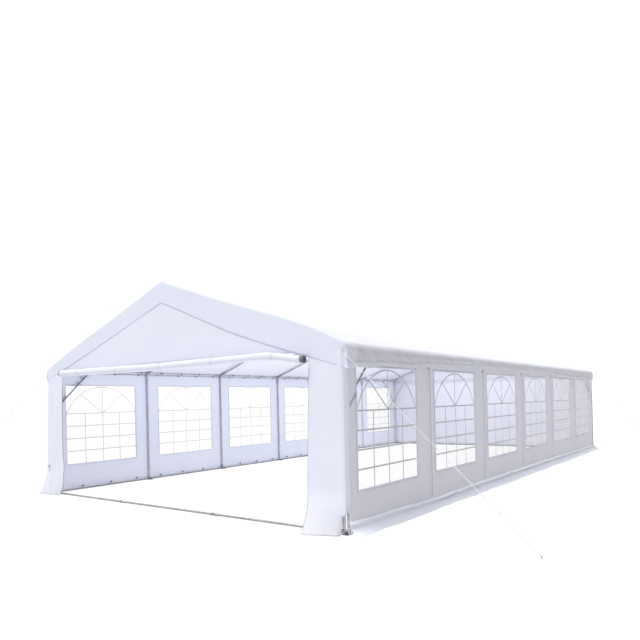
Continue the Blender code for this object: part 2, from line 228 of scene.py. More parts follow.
def finishPiece(name, shape, material, uv=None, paintedShading=None, thickness=None, smooth=True, flip=False,
                node=None, **soft):
    # Puts point and face arrays into a mesh that rides on the tent, with metres of cloth as its UV map. It
    # may stand for a node; what is left of the settings is not used.
    points, faces = shape
    if flip:
        faces = faces[:, ::-1]
    mesh = bpy.data.meshes.new(name)
    mesh.from_pydata(points.tolist(), [], faces.tolist())
    mesh.polygons.foreach_set("use_smooth", np.full(len(faces), smooth))
    if uv is None and paintedShading is not None:
        uv = np.zeros((len(points), 2))
    if uv is not None:
        mapping = mesh.uv_layers.new(name="clothMetres")
        mapping.data.foreach_set("uv", np.asarray(uv, np.float32)[faces.ravel()].ravel())
    # Painted shading: a point attribute that mixes the sheeting's colour towards its painted shade colour.
    if paintedShading is not None:
        attribute = mesh.attributes.new("paintedShading", "FLOAT", "POINT")
        paintedShading = np.broadcast_to(np.asarray(paintedShading, np.float32).ravel(), len(points))
        attribute.data.foreach_set("value", np.ascontiguousarray(paintedShading))
    mesh.materials.append(material)
    piece = bpy.data.objects.new(name, mesh)
    bpy.context.scene.collection.objects.link(piece)
    if thickness:
        body = piece.modifiers.new("thickness", "SOLIDIFY")
        body.thickness = thickness
        body.offset = 0
        body.use_even_offset = True
    else:
        mesh.set_sharp_from_angle(angle=math.radians(50))
    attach(piece, "root")
    if node:
        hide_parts(node)


def clothUv(grid):
    # Metres along the rows and the columns of a grid, measured on its middle row and column.
    rows = np.linalg.norm(np.diff(grid[:, grid.shape[1] // 2], axis=0), axis=1)
    columns = np.linalg.norm(np.diff(grid[grid.shape[0] // 2], axis=0), axis=1)
    v, u = np.concatenate([[0], np.cumsum(rows)]), np.concatenate([[0], np.cumsum(columns)])
    return np.stack(np.broadcast_arrays(u[None, :], v[:, None]), -1).reshape(-1, 2)


def sheetPiece(name, grid, material, thickness, paintedShading=0.0, keep=None, **rest):
    # A cloth sheet from a grid of points; keep marks the quads that stay, row by row.
    points, faces = shapeOf(grid)
    if keep is not None:
        faces = faces[keep.ravel()]
    finishPiece(name, (points, faces), material, clothUv(grid), paintedShading, thickness, **rest)


# Materials

def setSockets(tree, node, sockets):
    # Gives each input its value, or a link where it comes from another node.
    for socket, value in sockets.items():
        if isinstance(value, bpy.types.NodeSocket):
            tree.links.new(value, node.inputs[socket])
        else:
            node.inputs[socket].default_value = value


def addNode(tree, kind, output, sockets={}, **settings):
    # A node with its settings and inputs; what comes back is one of its outputs.
    node = tree.nodes.new("ShaderNode" + kind)
    for key, value in settings.items():
        setattr(node, key, value)
    setSockets(tree, node, sockets)
    return node.outputs[output]


def addNoise(tree, place, scale, detail=3.0):
    # Clouds of 0 to 1, finer as the scale grows.
    sockets = {"Vector": place, "Scale": scale, "Detail": detail, "Roughness": 0.55}
    return addNode(tree, "TexNoise", "Fac", sockets)


def addRange(tree, source, low, high, fromLow=0.0, fromHigh=1.0):
    # A straight line from one range to another, held within its ends.
    return addNode(tree, "MapRange", "Result", {"Value": source, "From Min": fromLow, "From Max": fromHigh,
                                                "To Min": low, "To Max": high})


def addMath(tree, operation, first, second=0.0):
    return addNode(tree, "Math", 0, {0: first, 1: second}, operation=operation)


def addMix(tree, factor, first, second, clamped=True):
    # Mixes two colours; sockets 6 and 7 are a Mix node's colours, and output 2 its colour.
    first, second = ((*colour, 1.0) if isinstance(colour, tuple) else colour for colour in (first, second))
    return addNode(tree, "Mix", 2, {0: factor, 6: first, 7: second}, data_type="RGBA", clamp_factor=clamped)


def addBump(tree, height, shader, strength, distance, **normal):
    # Tilts the shader's normal by the slope of a height; one bump can build on another.
    sockets = {"Height": height, "Strength": strength, "Distance": distance, **normal}
    bump = addNode(tree, "Bump", "Normal", sockets)
    setSockets(tree, shader, {"Normal": bump})
    return bump


def newMaterial(name, colour, roughness, metallic=0.0, alpha=1.0):
    # A plain principled material whose sockets hold these values until nodes are linked to them.
    material = bpy.data.materials.new(name)
    material.use_nodes = True
    material.diffuse_color = (*colour, alpha)
    tree = material.node_tree
    shader = tree.nodes["Principled BSDF"]
    setSockets(tree, shader, {"Base Color": (*colour, 1.0), "Roughness": roughness, "Metallic": metallic,
                              "Alpha": alpha})
    return material, tree, shader


sheeting = {
    "colour": (0.765, 0.785, 0.885),
    "cloudy": (0.735, 0.755, 0.86),  # the slightly greyer patches
    "paintedShade": (0.595, 0.605, 0.67),  # painted shade: the colour that the painted shading mixes the cloth towards
    "grime": (0.55, 0.54, 0.52),
    "grimeHeight": 0.035,
    "tape": 0.0022,  # width of the woven tapes
    "creases": 0.62,  # distance between the creases from folding
}


def sheetingMaterial(name, *tint):
    # Coated woven sheeting: soft clouds of colour, painted shade by its painted shading attribute, a weave
    # and fold creases.
    colour, cloudy = (tuple(np.multiply(sheeting[key], tint or 1.0)) for key in ("colour", "cloudy"))
    material, tree, shader = newMaterial(name, colour, 0.52)
    place = addNode(tree, "TexCoord", "Object")
    base = addMix(tree, addRange(tree, addNoise(tree, place, 1.3, 4.0), 0, 1, 0.35, 0.75), colour, cloudy)
    # Painted shade and painted highlights: the attribute mixes towards the painted shade colour, past it for
    # painted shadows, and away from it where it is below 0.
    paintedShading = addNode(tree, "Attribute", "Fac", attribute_name="paintedShading")
    base = addMix(tree, paintedShading, base, sheeting["paintedShade"], clamped=False)
    height = addNode(tree, "SeparateXYZ", "Z", {"Vector": place})
    low = addRange(tree, height, 0.35, 0.0, 0.0, sheeting["grimeHeight"])
    patchy = addRange(tree, addNoise(tree, place, 9.0, 5.0), 0, 1, 0.4, 0.7)
    base = addMix(tree, addMath(tree, "MULTIPLY", low, patchy), base, sheeting["grime"])
    sheen = addRange(tree, addNoise(tree, place, 5.0), 0.44, 0.6, 0.3, 0.7)
    setSockets(tree, shader, {"Base Color": base, "Roughness": sheen, "Specular IOR Level": 0.35})

    cloth = addNode(tree, "UVMap", "UV", uv_map="clothMetres")
    weave, folds = [], []
    for axis in ("X", "Y"):  # each way, a sine for the woven tapes and a thin ridge at each packing crease
        metres = addNode(tree, "SeparateXYZ", axis, {"Vector": cloth})
        weave.append(addMath(tree, "SINE", addMath(tree, "MULTIPLY", metres, math.pi / sheeting["tape"])))
        step = addMath(tree, "FRACT", addMath(tree, "DIVIDE", metres, sheeting["creases"]))
        away = addMath(tree, "ABSOLUTE", addMath(tree, "SUBTRACT", step, 0.5))
        folds.append(addRange(tree, away, 1.0, 0.0, 0.0, 0.02))
    normal = addBump(tree, addMath(tree, "MULTIPLY", *weave), shader, 0.25, 0.0001)
    rumpled = addMath(tree, "ADD", addMath(tree, "MAXIMUM", *folds), addNoise(tree, place, 14.0, 4.0))
    addBump(tree, rumpled, shader, 0.35, 0.0015, Normal=normal)
    return material


def steelMaterial(name, colour, roughness=0.36, metallic=0.85):
    # Galvanised tube: small zinc spangles, fine grain along the surface and dull patches.
    material, tree, shader = newMaterial(name, colour, roughness, metallic)
    place = addNode(tree, "TexCoord", "Object")
    cells = addNode(tree, "TexVoronoi", "Color", {"Vector": place, "Scale": 90.0})
    bright, dull, dark = (tuple(min(channel * factor, 1) for channel in colour)
                          for factor in (1.25, 0.78, 0.7))
    base = addMix(tree, addRange(tree, cells, 0.0, 1.0, 0.1, 0.9), dull, bright)
    base = addMix(tree, addRange(tree, addNoise(tree, place, 7.0, 5.0), 0, 0.8, 0.45, 0.7), base, dark)
    worn = addRange(tree, addNoise(tree, place, 30.0, 4.0), roughness - 0.08, roughness + 0.14, 0.3, 0.7)
    setSockets(tree, shader, {"Base Color": base, "Roughness": worn})
    addBump(tree, addNoise(tree, place, 400.0, 2.0), shader, 0.15, 0.0004)
    return material


def filmMaterial():
    # Clear window film, hazier at a glancing view as a painted reflection, with the shallow ripples of soft
    # plastic.
    material, tree, shader = newMaterial("clearFilm", (0.665, 0.645, 0.625), 0.12, alpha=0.16)
    place, glancing = addNode(tree, "TexCoord", "Object"), addNode(tree, "LayerWeight", "Facing")
    # Painted reflection: at a glancing view the film turns less clear and shows its own colour in place of
    # the bright surroundings it reflects.
    cover = addMath(tree, "MULTIPLY", addMath(tree, "POWER", glancing, 4.0), 1.1)
    haze = addRange(tree, addNoise(tree, place, 2.2, 3.0), 0.08, 0.22, 0.35, 0.7)
    setSockets(tree, shader, {"IOR": 1.45, "Alpha": addMath(tree, "ADD", cover, 0.07), "Roughness": haze})
    addBump(tree, addNoise(tree, place, 6.0, 2.0), shader, 0.1, 0.001)
    return material


def plainMaterial(name, colour, roughness, scale, bump=0.2, distance=0.0005, mottle=0.8):
    # One finish with fine grain: colour and height follow a noise of the given scale.
    material, tree, shader = newMaterial(name, colour, roughness)
    grain = addNoise(tree, addNode(tree, "TexCoord", "Object"), scale, 4.0)
    patches = addRange(tree, grain, 0, 1, 0.35, 0.75)
    base = addMix(tree, patches, colour, tuple(channel * mottle for channel in colour))
    setSockets(tree, shader, {"Base Color": base})
    addBump(tree, grain, shader, bump, distance)
    return material


# Tinted copies of one sheeting as painted light and shade: painted light on the roof, the gable, the right
# wall and the mud flaps, painted shade on the fascias and the seam bands.
roofSheeting = sheetingMaterial("roofSheeting", 1.012, 1.012, 1.0)
wallSheeting = sheetingMaterial("wallSheeting")
sunnyWall = sheetingMaterial("rightWallSheeting", 1.005, 0.99, 0.965)  # painted warmer light
fasciaSheeting = sheetingMaterial("fasciaSheeting", 0.965, 0.972, 0.99)
gableSheeting = sheetingMaterial("gableSheeting", 1.005, 1.005, 1.005)
flapSheeting = sheetingMaterial("flapSheeting", 1.13, 1.15, 1.13)
bandSheeting = sheetingMaterial("seamBands", 0.98, 0.98, 0.98)
# Copies of one galvanised finish: the far tubes, seen through the film, painted lighter as painted light; the
# braces and the ground tubes painted darker as painted shade.
galvanised = steelMaterial("galvanisedTube", (0.45, 0.46, 0.50))
railSteel = steelMaterial("railTube", (0.66, 0.67, 0.71), metallic=0.6)
farSteel = steelMaterial("farTube", (0.72, 0.73, 0.78), metallic=0.3)
braceSteel = steelMaterial("braceTube", (0.24, 0.25, 0.29))
groundSteel = steelMaterial("groundTube", (0.27, 0.28, 0.30))
barSteel = steelMaterial("groundBarTube", (0.30, 0.31, 0.30))
zincParts = steelMaterial("zincFastener", (0.46, 0.46, 0.48), 0.3)
clearFilm = filmMaterial()
# One print in two shades: the right wall's bars painted darker as painted shade, the left wall's, seen from
# inside, in their own light colour.
windowPrint = plainMaterial("windowPrint", (0.58, 0.595, 0.635), 0.5, 60.0, mottle=0.93)
insidePrint = plainMaterial("windowPrintInside", (0.76, 0.755, 0.73), 0.5, 60.0, mottle=0.93)
blackRubber = plainMaterial("blackRubber", (0.018, 0.018, 0.02), 0.38, 120.0, 0.3)
zipTape = plainMaterial("zipTape", (0.06, 0.06, 0.068), 0.7, 900.0, 0.6, 0.0003)
woundZip = plainMaterial("woundZip", (0.24, 0.24, 0.25), 0.6, 130.0, 0.6, mottle=0.2)
ropeFibre = plainMaterial("ropeFibre", (0.88, 0.90, 0.96), 0.75, 700.0, 0.6, 0.0003)
tieWebbing = plainMaterial("tieWebbing", (0.80, 0.81, 0.86), 0.65, 900.0, 0.5, 0.0002)
print("materials ready")


# Roof cover: both slopes and the strips that hang along the eaves

roof = {
    "cloth": 0.002,
    "offset": 0.0235,  # from the tubes' centre lines to the middle of the cloth
    "eaveRound": (0.12, 0.12),  # half width and height of the quarter ellipse over the eave
    "proud": 0.037,  # of the eave beyond the tent's half width
    "ridgeRound": 0.02,
    "sag": 0.016,  # between two rafters
    "bulge": 0.016,  # each slope stands proud lower down
    "frontBulge": {1: 0.034, -1: 0.006},  # and more at the front
    "bulgeFade": 2.4,
    "bulgePlace": 2.6,
    "rows": (34, 9, 15),  # on the slope, round the eave and on the strip
    "perBay": 22,
    "hemBand": 0.052,  # height of the sewn band along the hem of the eave strip
    "hemPlaces": (-5.85, -5.385, -4.883, -4.318, -3.913, -3.24, -2.357, -0.897, -0.048, 1.257, 1.958, 3.697,
                  5.593, 5.85),
    "hemHeights": (1.80, 1.801, 1.828, 1.808, 1.861, 1.845, 1.885, 1.904, 1.862, 1.893, 1.858, 1.822, 1.806,
                   1.83),
    "corners": {(1, -1): 1.775, (-1, -1): 1.87, (1, 1): 1.83, (-1, 1): 1.83},  # hem heights by side and end
    "cornerReach": 0.22,
    "cornerPatch": 0.20,  # length of the piece round each corner, which gets less painted shade
    "drawnIn": 0.022,  # how far the eave strip is drawn in below the eave
    "flare": 0.014,  # how far its sewn band stands out again
    "ripple": 0.0055,
    "pucker": 0.022,
    "puckers": (0.7, 0.8, 0.4, 1.0, 0.5, 0.4, 0.9),  # how much the strip bunches up at each post
    "paintedCreaseShade": 0.3,  # how patchy the painted shade of the eave strip is, like the shade of creases
}


def alongTent(reach):
    # Places along Y, with rows at every post, at both ends and beside the corner patches.
    pairs = zip(postLines, postLines[1:])
    places = [np.linspace(low, high, roof["perBay"], endpoint=False) for low, high in pairs]
    patch = reach - roof["cornerPatch"]
    half = np.array([patch - 0.002, patch + 0.002, reach - 0.025, reach - 0.012, reach])
    return np.sort(np.concatenate([*places, -half, half, postLines[-1:]]))


def valanceHem(side, y):
    # Height of the eave strip's hem: wavy heights joined up, eased into the corner heights.
    if side > 0:
        hem = smoothed(y, 0.3, roof["hemPlaces"], roof["hemHeights"], 13)
    else:
        hem = smoothed(y, 0.3, roof["hemPlaces"], roof["hemHeights"][::-1], 13) - 0.004
    hem = hem + 0.006 * unevenness(y, 0.0, 0.6, 20 + side)
    for end in ends.values():
        hem = hem + (roof["corners"][side, end] - hem) * hump(y, end * tentEnd, roof["cornerReach"])
    return hem


def roofHalf(side, y):
    # Rows from the ridge down a slope (a straight line, sagging by a sine between rafters), round the eave
    # (a quarter ellipse) and down the eave strip, which is drawn in by a sine and flares at its hem.
    slopeRows, arcRows, stripRows = roof["rows"]
    normal = np.array([math.sin(pitch), math.cos(pitch)])
    wide, tall = roof["eaveRound"]
    firstTurn = math.atan2(tall * normal[1], wide * normal[0])
    arcX = halfWidth + roof["proud"] - wide
    tangentX = arcX + wide * math.cos(firstTurn)
    top = ridgeMiddle[2] + roof["offset"] / normal[1]
    arcZ = top - rise * tangentX - tall * math.sin(firstTurn)

    share = np.linspace(0, 1, slopeRows)[:, None]
    x = share * tangentX + 0 * y
    sag = roof["sag"] * betweenPosts(y) * np.sin(np.pi * share) ** 0.6
    proud = roof["bulge"] + roof["frontBulge"][side] * np.exp(-(y + tentEnd) / roof["bulgeFade"])
    proud = proud * np.sin(np.pi * share ** roof["bulgePlace"])
    shift = proud - sag + 0.0025 * unevenness(y, x, 0.6, 3 + side) * np.sin(np.pi * share)
    z = top - rise * np.hypot(x, roof["ridgeRound"])
    slope = gridOf(x + normal[0] * shift, y, z + normal[1] * shift)

    turn = np.linspace(firstTurn, 0, arcRows + 1)[1:, None]
    arc = gridOf(arcX + wide * np.cos(turn), y, arcZ + tall * np.sin(turn))

    height = arcZ - valanceHem(side, y)[None, :]
    band = 1 - roof["hemBand"] / height
    upper = np.linspace(0, 1, stripRows - 4)[1:, None] * band
    lower = band + (1 - band) * np.array([0.04, 0.3, 0.6, 0.85, 1.0])[:, None]
    down = np.concatenate([upper, lower])
    z = arcZ - down * height
    bandDown = np.clip((down - band) / (1 - band), 0, 1)
    shape = roof["flare"] * bandDown - roof["drawnIn"] * np.sin(np.pi / 2 * np.clip(down / band, 0, 1))
    ripple = roof["ripple"] * (1 + unevenness(y * 1.3, z * 3, 0.42, 11 + side)) * np.sin(np.pi * down * 0.7)
    ripple = ripple + 0.004 * bandDown * (1 + unevenness(y, 0.0, 0.22, 15 + side))
    for post, strength in zip(postLines, roof["puckers"]):  # the strip is laced down here
        bunch = hump(y, post, 0.12) * np.sin((y - post) * 48 + 9 * down)
        ripple = ripple + roof["pucker"] * strength * np.abs(bunch) * np.sin(np.pi * np.clip(down, 0, 0.93))
    strip = gridOf(halfWidth + roof["proud"] + shape + ripple, y, z)
    half = np.concatenate([slope, arc, strip]) * (side, 1, 1)

    # Painted shade: it grows round the eave's turn, is full on the hanging strip and slight on its sewn hem
    # band, is patchy like crease shadows, and is less on the corner pieces.
    arcDark = ease(0.12 * unevenness(y, 0.0, 0.45, 27 + side) - turn, -0.9, -0.2)
    dark = np.concatenate([np.zeros(slope.shape[:2]), arcDark, np.where(bandDown > 0.02, 0.05, 1.0)])
    dark = dark * (1 + roof["paintedCreaseShade"] * unevenness(y, half[..., 2] * 2.4, 0.15, 25 + side))
    patch = (np.abs(y) > tentEnd - roof["cornerPatch"])[None, :] & (dark > 0.4)
    return half, np.where(patch, 0.4, dark)


def makeRoof():
    # Both halves as one sheet, from the left hem over the ridge to the right hem.
    y = alongTent(tentEnd - roof["cloth"] / 2)
    (left, leftDark), (right, rightDark) = roofHalf(-1, y), roofHalf(1, y)
    grid = np.concatenate([left[:0:-1], right])
    paintedShade = np.concatenate([leftDark[:0:-1], rightDark])
    slopeLength = math.hypot(railMiddle[0], ridgeMiddle[2] - railMiddle[2])
    stripDepth = railMiddle[2] - float(np.mean(roof["hemHeights"]))
    flatWidth = 2 * (slopeLength + stripDepth + 0.05)
    sheetPiece("roofCover", roundCorners(grid), roofSheeting, roof["cloth"], paintedShade, node="roof_cover",
               flat=(flatWidth, 2 * tentEnd), held="stretched",
               rests_on=["ridge_pole", "right_eave_rail", "left_eave_rail"])
    return grid


roofGrid = makeRoof()
print("roof done")


# Strips along the rakes, and the gables behind them

fascia = {
    "cloth": 0.0012,
    "peakHem": 2.822,
    "sag": {(1, -1): 0.062, (-1, -1): 0.008, (1, 1): 0.03, (-1, 1): 0.03},
    "rows": 16,
    "ripple": 0.0025,
    "gap": 0.0012,  # between its hem and the gable that it leans on
    "rakeHeight": 1.06,
}
gable = {
    "cloth": 0.0016,
    "rows": 22,
    "base": boxOf("front_gable")[0][2],
    "y": abs(middleOf("front_gable")[1]),
    "fold": 0.006,
}


def fasciaHem(x, end):
    # Height of the rake strip's hem: two straight lines that sag by a sine on the way to the corners.
    corner, sag = (np.where(x >= 0, drop[1, end], drop[-1, end]) for drop in (roof["corners"], fascia["sag"]))
    share = np.abs(x) / halfWidth
    line = fascia["peakHem"] + (corner - fascia["peakHem"]) * share
    return line - sag * np.abs(np.sin(np.pi * np.clip(share, 0, 1))) ** 1.5


def roofEdge(end, inset=0):
    # X and Z of the roof's rim at one end, from eave to eave.
    skip = roof["rows"][2] + inset
    edge = roofGrid[skip:-skip, 0 if end < 0 else -1]
    return edge[None, :, 0], edge[None, :, 2]


def makeFascia(name, end):
    # Rows in straight steps from the roof's rim down to the hem, which leans in to the gable.
    x, zTop = roofEdge(end)
    down = np.linspace(0, 1, fascia["rows"])[:, None]
    z = zTop + down * (fasciaHem(x, end) - zTop)
    free = 1 - ease(np.abs(x), 2.3, 2.75)  # towards the corners it lies against the curtains
    ripple = fascia["ripple"] * down * free * (0.7 + unevenness(x, z, 0.7, 31 + end))
    outside = tentEnd - fascia["cloth"] / 2
    gap = outside - gable["y"] - fascia["cloth"] / 2 - fascia["gap"]
    y = end * (outside - (gap * free + 0.0012 * (1 - free)) * down + np.maximum(ripple, 0))
    flat = (2 * math.hypot(halfWidth, fascia["rakeHeight"]), float(np.mean(zTop - fasciaHem(x, end))))
    sheetPiece(name + "Fascia", roundCorners(gridOf(x, y, z)), fasciaSheeting, fascia["cloth"], flip=end > 0,
               flat=flat, held="hung", rests_on=["roofCover"])


def makeGable(name, end):
    # The triangle between the slopes and the cross beam, a flat sheet with faint folds towards its base.
    x, zTop = roofEdge(end, 5)
    x, zTop = x * 0.994, zTop - 0.006
    down = np.linspace(0, 1, gable["rows"])[:, None]
    z = zTop + down * (gable["base"] - zTop)
    fold = gable["fold"] * unevenness(x * 1.6, z, 0.8, 51 + end)
    y = end * (gable["y"] + np.minimum(fold * np.sin(np.pi * down) * ease(zTop - z, 0.25, 0.5), 0))
    base, height = 2 * float(x.max()), float(zTop.max() - gable["base"])
    sheetPiece(name + "Gable", roundCorners(gridOf(x, y, z)), gableSheeting, gable["cloth"], flip=end > 0,
               node=name + "_gable", flat=(base, height), held="stretched", area=base * height * 0.53,
               rests_on=["rafter_pair_1" if end < 0 else "rafter_pair_7"])


for makeEnd in (makeFascia, makeGable):
    for name, end in ends.items():
        makeEnd(name, end)
print("fascias and gables done")


# Side walls with their windows

wall = {
    "cloth": 0.0016,
    "middleX": (wallLow[0] + wallHigh[0]) / 2,
    "end": wallHigh[1],
    "windowHalf": 0.689,
    "windowLow": 0.455,
    "windowHigh": 1.795,
    "billow": 0.007,
    "folds": 0.003,
    "filmGap": 0.0022,  # from the middle of the wall's cloth to the film
    "filmSoft": 0.0005,
    "barGap": 0.0048,  # and to the first of the printed bars behind it
    "transom": 1.317,
    "archTop": 1.78,
    "spokeTip": (0.425, 0.338),  # of the right-hand spoke, from the middle of the transom
    "barWidth": 0.019,
    "borders": ((0.0, 0.0225, 0.0007, 0.15), (0.0225, 0.029, 0.0009, 0.95)),  # from, to, proud and darkness: painted shade on the welded band, a dark line on the stitching
    "braceShade": 2.5,
    "frontEnd": 5.80,  # the curtains cover the rest of the corner
}
windowMiddles = {name: postLines[:-1] + bay / 2 + middleOf(name + "_windows")[1] for name in sides}


def wallGrid(side, y, z, proud=0.0):
    # The wall with shallow billows between its posts and upright folds near its foot, or what stands proud
    # of the middle of its cloth by so much.
    free = betweenPosts(y) ** 0.6 * (1 - ease(z, 1.70, 1.84))
    billow = wall["billow"] * unevenness(y * 0.8, z * 0.55, 0.9, 61 + side) * free
    upright = wall["folds"] * unevenness(y, 0.08 * z, 0.32, 71 + side) * (1 - ease(z, 0.2, 0.75)) * free
    return gridOf(side * (wall["middleX"] + proud + np.clip(billow + upright, -0.012, 0.012)), y, z)


def wallLines(middles):
    # Places along Y and Z whose lines follow the windows' edges.
    y, last = [], -wall["frontEnd"]
    for middle in middles:
        low, high = middle - wall["windowHalf"], middle + wall["windowHalf"]
        y += [np.linspace(last, low, 11, endpoint=False), np.linspace(low, high, 18, endpoint=False)]
        last = high
    cornerStart = tentEnd - corners["radius"][1]
    y += [np.linspace(last, cornerStart, 12, endpoint=False), np.linspace(cornerStart, wall["end"], 8)]
    z = [np.linspace(wallLow[2], wall["windowLow"], 10, endpoint=False),
         np.linspace(wall["windowLow"], wall["windowHigh"], 52, endpoint=False),
         np.linspace(wall["windowHigh"], wallHigh[2], 6)]
    return np.concatenate(y), np.concatenate(z)


def braceShade(name, y, z):
    # Above 0 where a corner brace lies against the cloth: its painted shadow, as it would show through the
    # cloth, as a band about its line.
    shade = 0 * y * z
    for end, sign in ends.items():
        low, high = boxOf(f"{end}_{name}_brace")
        reach = sorted((abs(low[1]), abs(high[1])))
        start, stop = np.array([sign * reach[1], low[2]]), np.array([sign * reach[0], high[2]])
        along = unit(stop - start)
        across = (y - start[0]) * along[1] - (z - start[1]) * along[0]
        shade = np.maximum(shade, (1 - ease(np.abs(across), 0.008, 0.022)) * (z > start[1]) * (z < stop[1]))
    return shade * wall["braceShade"]


def makeSideWall(side, name):
    # The wall's grid without its quads inside the windows.
    yLine, zLine = wallLines(windowMiddles[name])
    y, z = yLine[None, :], zLine[:, None]
    yMid, zMid = (yLine[1:] + yLine[:-1]) / 2, (zLine[1:] + zLine[:-1]) / 2
    inWindow = np.abs(yMid[:, None] - windowMiddles[name]).min(axis=1) < wall["windowHalf"]
    tall = (zMid > wall["windowLow"]) & (zMid < wall["windowHigh"])
    flat = (float(yLine[-1] - yLine[0]), float(zLine[-1] - zLine[0]))
    cutOut = 6 * 2 * wall["windowHalf"] * (wall["windowHigh"] - wall["windowLow"])
    cloth, keep = sunnyWall if side > 0 else wallSheeting, ~(tall[:, None] & inWindow[None, :])
    sheetPiece(name + "WallCloth", roundCorners(wallGrid(side, y, z)), cloth, wall["cloth"],
               braceShade(name, y, z), keep, flip=side < 0, node=name + "_wall", flat=flat, held="stretched",
               area=flat[0] * flat[1] - cutOut, rests_on=[name + "_eave_rail", name + "_ground_rail"])


def makeFilm(side, name):
    # Six clear panes a little larger than the windows, close behind the wall's cloth.
    margin = boxOf("right_windows")[1][2] - wall["windowHigh"]
    half, low, high = wall["windowHalf"] + margin, wall["windowLow"] - margin, wall["windowHigh"] + margin
    panes = []
    for middle in windowMiddles[name]:
        y, z = np.linspace(middle - half, middle + half, 22)[None, :], np.linspace(low, high, 20)[:, None]
        soft = wall["filmSoft"] * unevenness(y, z, 0.35, 81 + side)
        panes.append(wallGrid(side, y, z, -wall["filmGap"] - np.abs(soft)))
    finishPiece(name + "WindowFilm", joined([shapeOf(pane) for pane in panes]), clearFilm,
                np.concatenate([clothUv(pane) for pane in panes]), flip=side < 0, node=name + "_windows",
                flat=(6 * 2 * half, high - low), held="stretched", rests_on=[name + "WallCloth"])


def windowBars():
    # Centre lines of one window's bars about its middle: an arc of a circle through the transom's ends, two
    # slanted spokes, and a grid of straight bars.
    half, transom, low, top = (wall[key] for key in ("windowHalf", "transom", "windowLow", "archTop"))
    rise = top - transom
    radius = (half ** 2 + rise ** 2) / (2 * rise)
    turn = np.linspace(-1, 1, 49) * math.asin(half / radius)
    lines = [((-half, transom), (2 * half, 0))]
    lines += [((0, transom), (sign * wall["spokeTip"][0], wall["spokeTip"][1])) for sign in (-1, 1)]
    lines.append(((0, low), (0, top - low)))
    lines += [((place, low), (0, transom - low)) for place in (-half / 2, half / 2)]
    lines += [((-half, low + row * (transom - low) / 4), (2 * half, 0)) for row in (1, 2, 3)]
    straight = [np.array(start) + np.linspace(0, 1, 17)[:, None] * reach for start, reach in lines]
    return [np.stack([radius * np.sin(turn), top - radius * (1 - np.cos(turn))], -1), *straight]


def makeBars(side, name):
    # Each bar is a flat band to both sides of its centre line.
    parts = []
    for number, bar in enumerate(windowBars()):
        along = unit(np.gradient(bar, axis=0))
        normal = np.stack([-along[:, 1], along[:, 0]], -1)
        edges = np.stack([bar + share * normal * wall["barWidth"] / 2 for share in (-1, 1)])
        for middle in windowMiddles[name]:
            grid = wallGrid(side, edges[..., 0] + middle, edges[..., 1], -wall["barGap"] - 0.00006 * number)
            parts.append(shapeOf(grid))
    finishPiece(name + "WindowBars", joined(parts), windowPrint if side > 0 else insidePrint, flip=side > 0)


def makeBorders(side, name):
    # Round each window: a welded band, then a narrow line of stitching, both just proud of the wall. Each is
    # a strip between two rectangles.
    parts, paintedShading = [], []
    share = np.linspace(0, 4, 241)
    outward = np.array([[-1, -1], [1, -1], [1, 1], [-1, 1], [-1, -1]])
    levels = np.where(outward[:, 1] < 0, wall["windowLow"], wall["windowHigh"])
    rectangle = np.stack([outward[:, 0] * wall["windowHalf"], levels], -1)
    for near, far, stand, dark in wall["borders"]:
        rims = [rectangle + distance * outward for distance in (near, far)]
        y, z = (np.stack([np.interp(share, np.arange(5), rim[:, axis]) for rim in rims]) for axis in (0, 1))
        for middle in windowMiddles[name]:
            parts.append(shapeOf(wallGrid(side, y + middle, z, wall["cloth"] / 2 + stand)))
            # Painted shade on each strip, with the brace's painted shadow over it.
            paintedShading.append((dark + braceShade(name, y + middle, z)).ravel())
    finishPiece(name + "WindowBorders", joined(parts), bandSheeting, None, np.concatenate(paintedShading), 0.0008,
                flip=side > 0)


seams = {
    "low": 0.14,
    "high": 1.86,
    "flap": (-0.03, -0.012, 0.006, 0.022, 0.03),  # across the overlap, from the post line
    "zip": (0.030, 0.044),
    "cornerZip": (-0.070, -0.050, -0.030),  # from the tent's back end; a wide dark band, a zip that also stands in for the shadow line at the back corner
    "cornerHeights": (0.10, 1.50),
}


def makeSeams(side, name):
    # At each inner post the wall's panels overlap, with a zip under the edge of the flap. Another zip runs
    # up the back corner.
    def strip(y, z, stand):
        return shapeOf(gridOf(side * (wall["middleX"] + wall["cloth"] / 2 + stand), y, z))

    flaps, zips = [], []
    z = np.linspace(seams["low"], seams["high"], 30)[:, None]
    for number, post in enumerate(postLines[1:-1], 2):
        line = post + 0.004 * unevenness(z, 0.0, 0.7, 90 + number)
        across = np.array(seams["flap"])
        flaps.append(strip(line + across, z, 0.0012 + 0.0028 * ease(across, -0.01, 0.03)))
        zips.append(strip(line + seams["zip"], z, 0.001))
    # The back corner's zip is widened into a painted shadow line along the corner.
    z = np.linspace(*seams["cornerHeights"], 30)[:, None]
    zips.append(strip(tentEnd + np.array(seams["cornerZip"]), z, 0.0025))
    # The overlapping flaps get a little painted shade.
    finishPiece(name + "WallSeams", joined(flaps), bandSheeting, None, 0.1, 0.0012, flip=side < 0)
    finishPiece(name + "WallZips", joined(zips), zipTape, thickness=0.001, flip=side < 0)


for name, side in sides.items():
    for makeWallPart in (makeSideWall, makeFilm, makeBars, makeBorders, makeSeams):
        makeWallPart(side, name)
print("side walls done")


# Back wall

backWall = {
    "cloth": 0.0016,
    "y": middleOf("back_wall")[1],
    "half": boxOf("back_wall")[1][0],
    "bottom": boxOf("back_wall")[0][2],
    "top": boxOf("back_wall")[1][2],
    "zips": (-2.46, 2.46),
    "billow": 0.012,
}


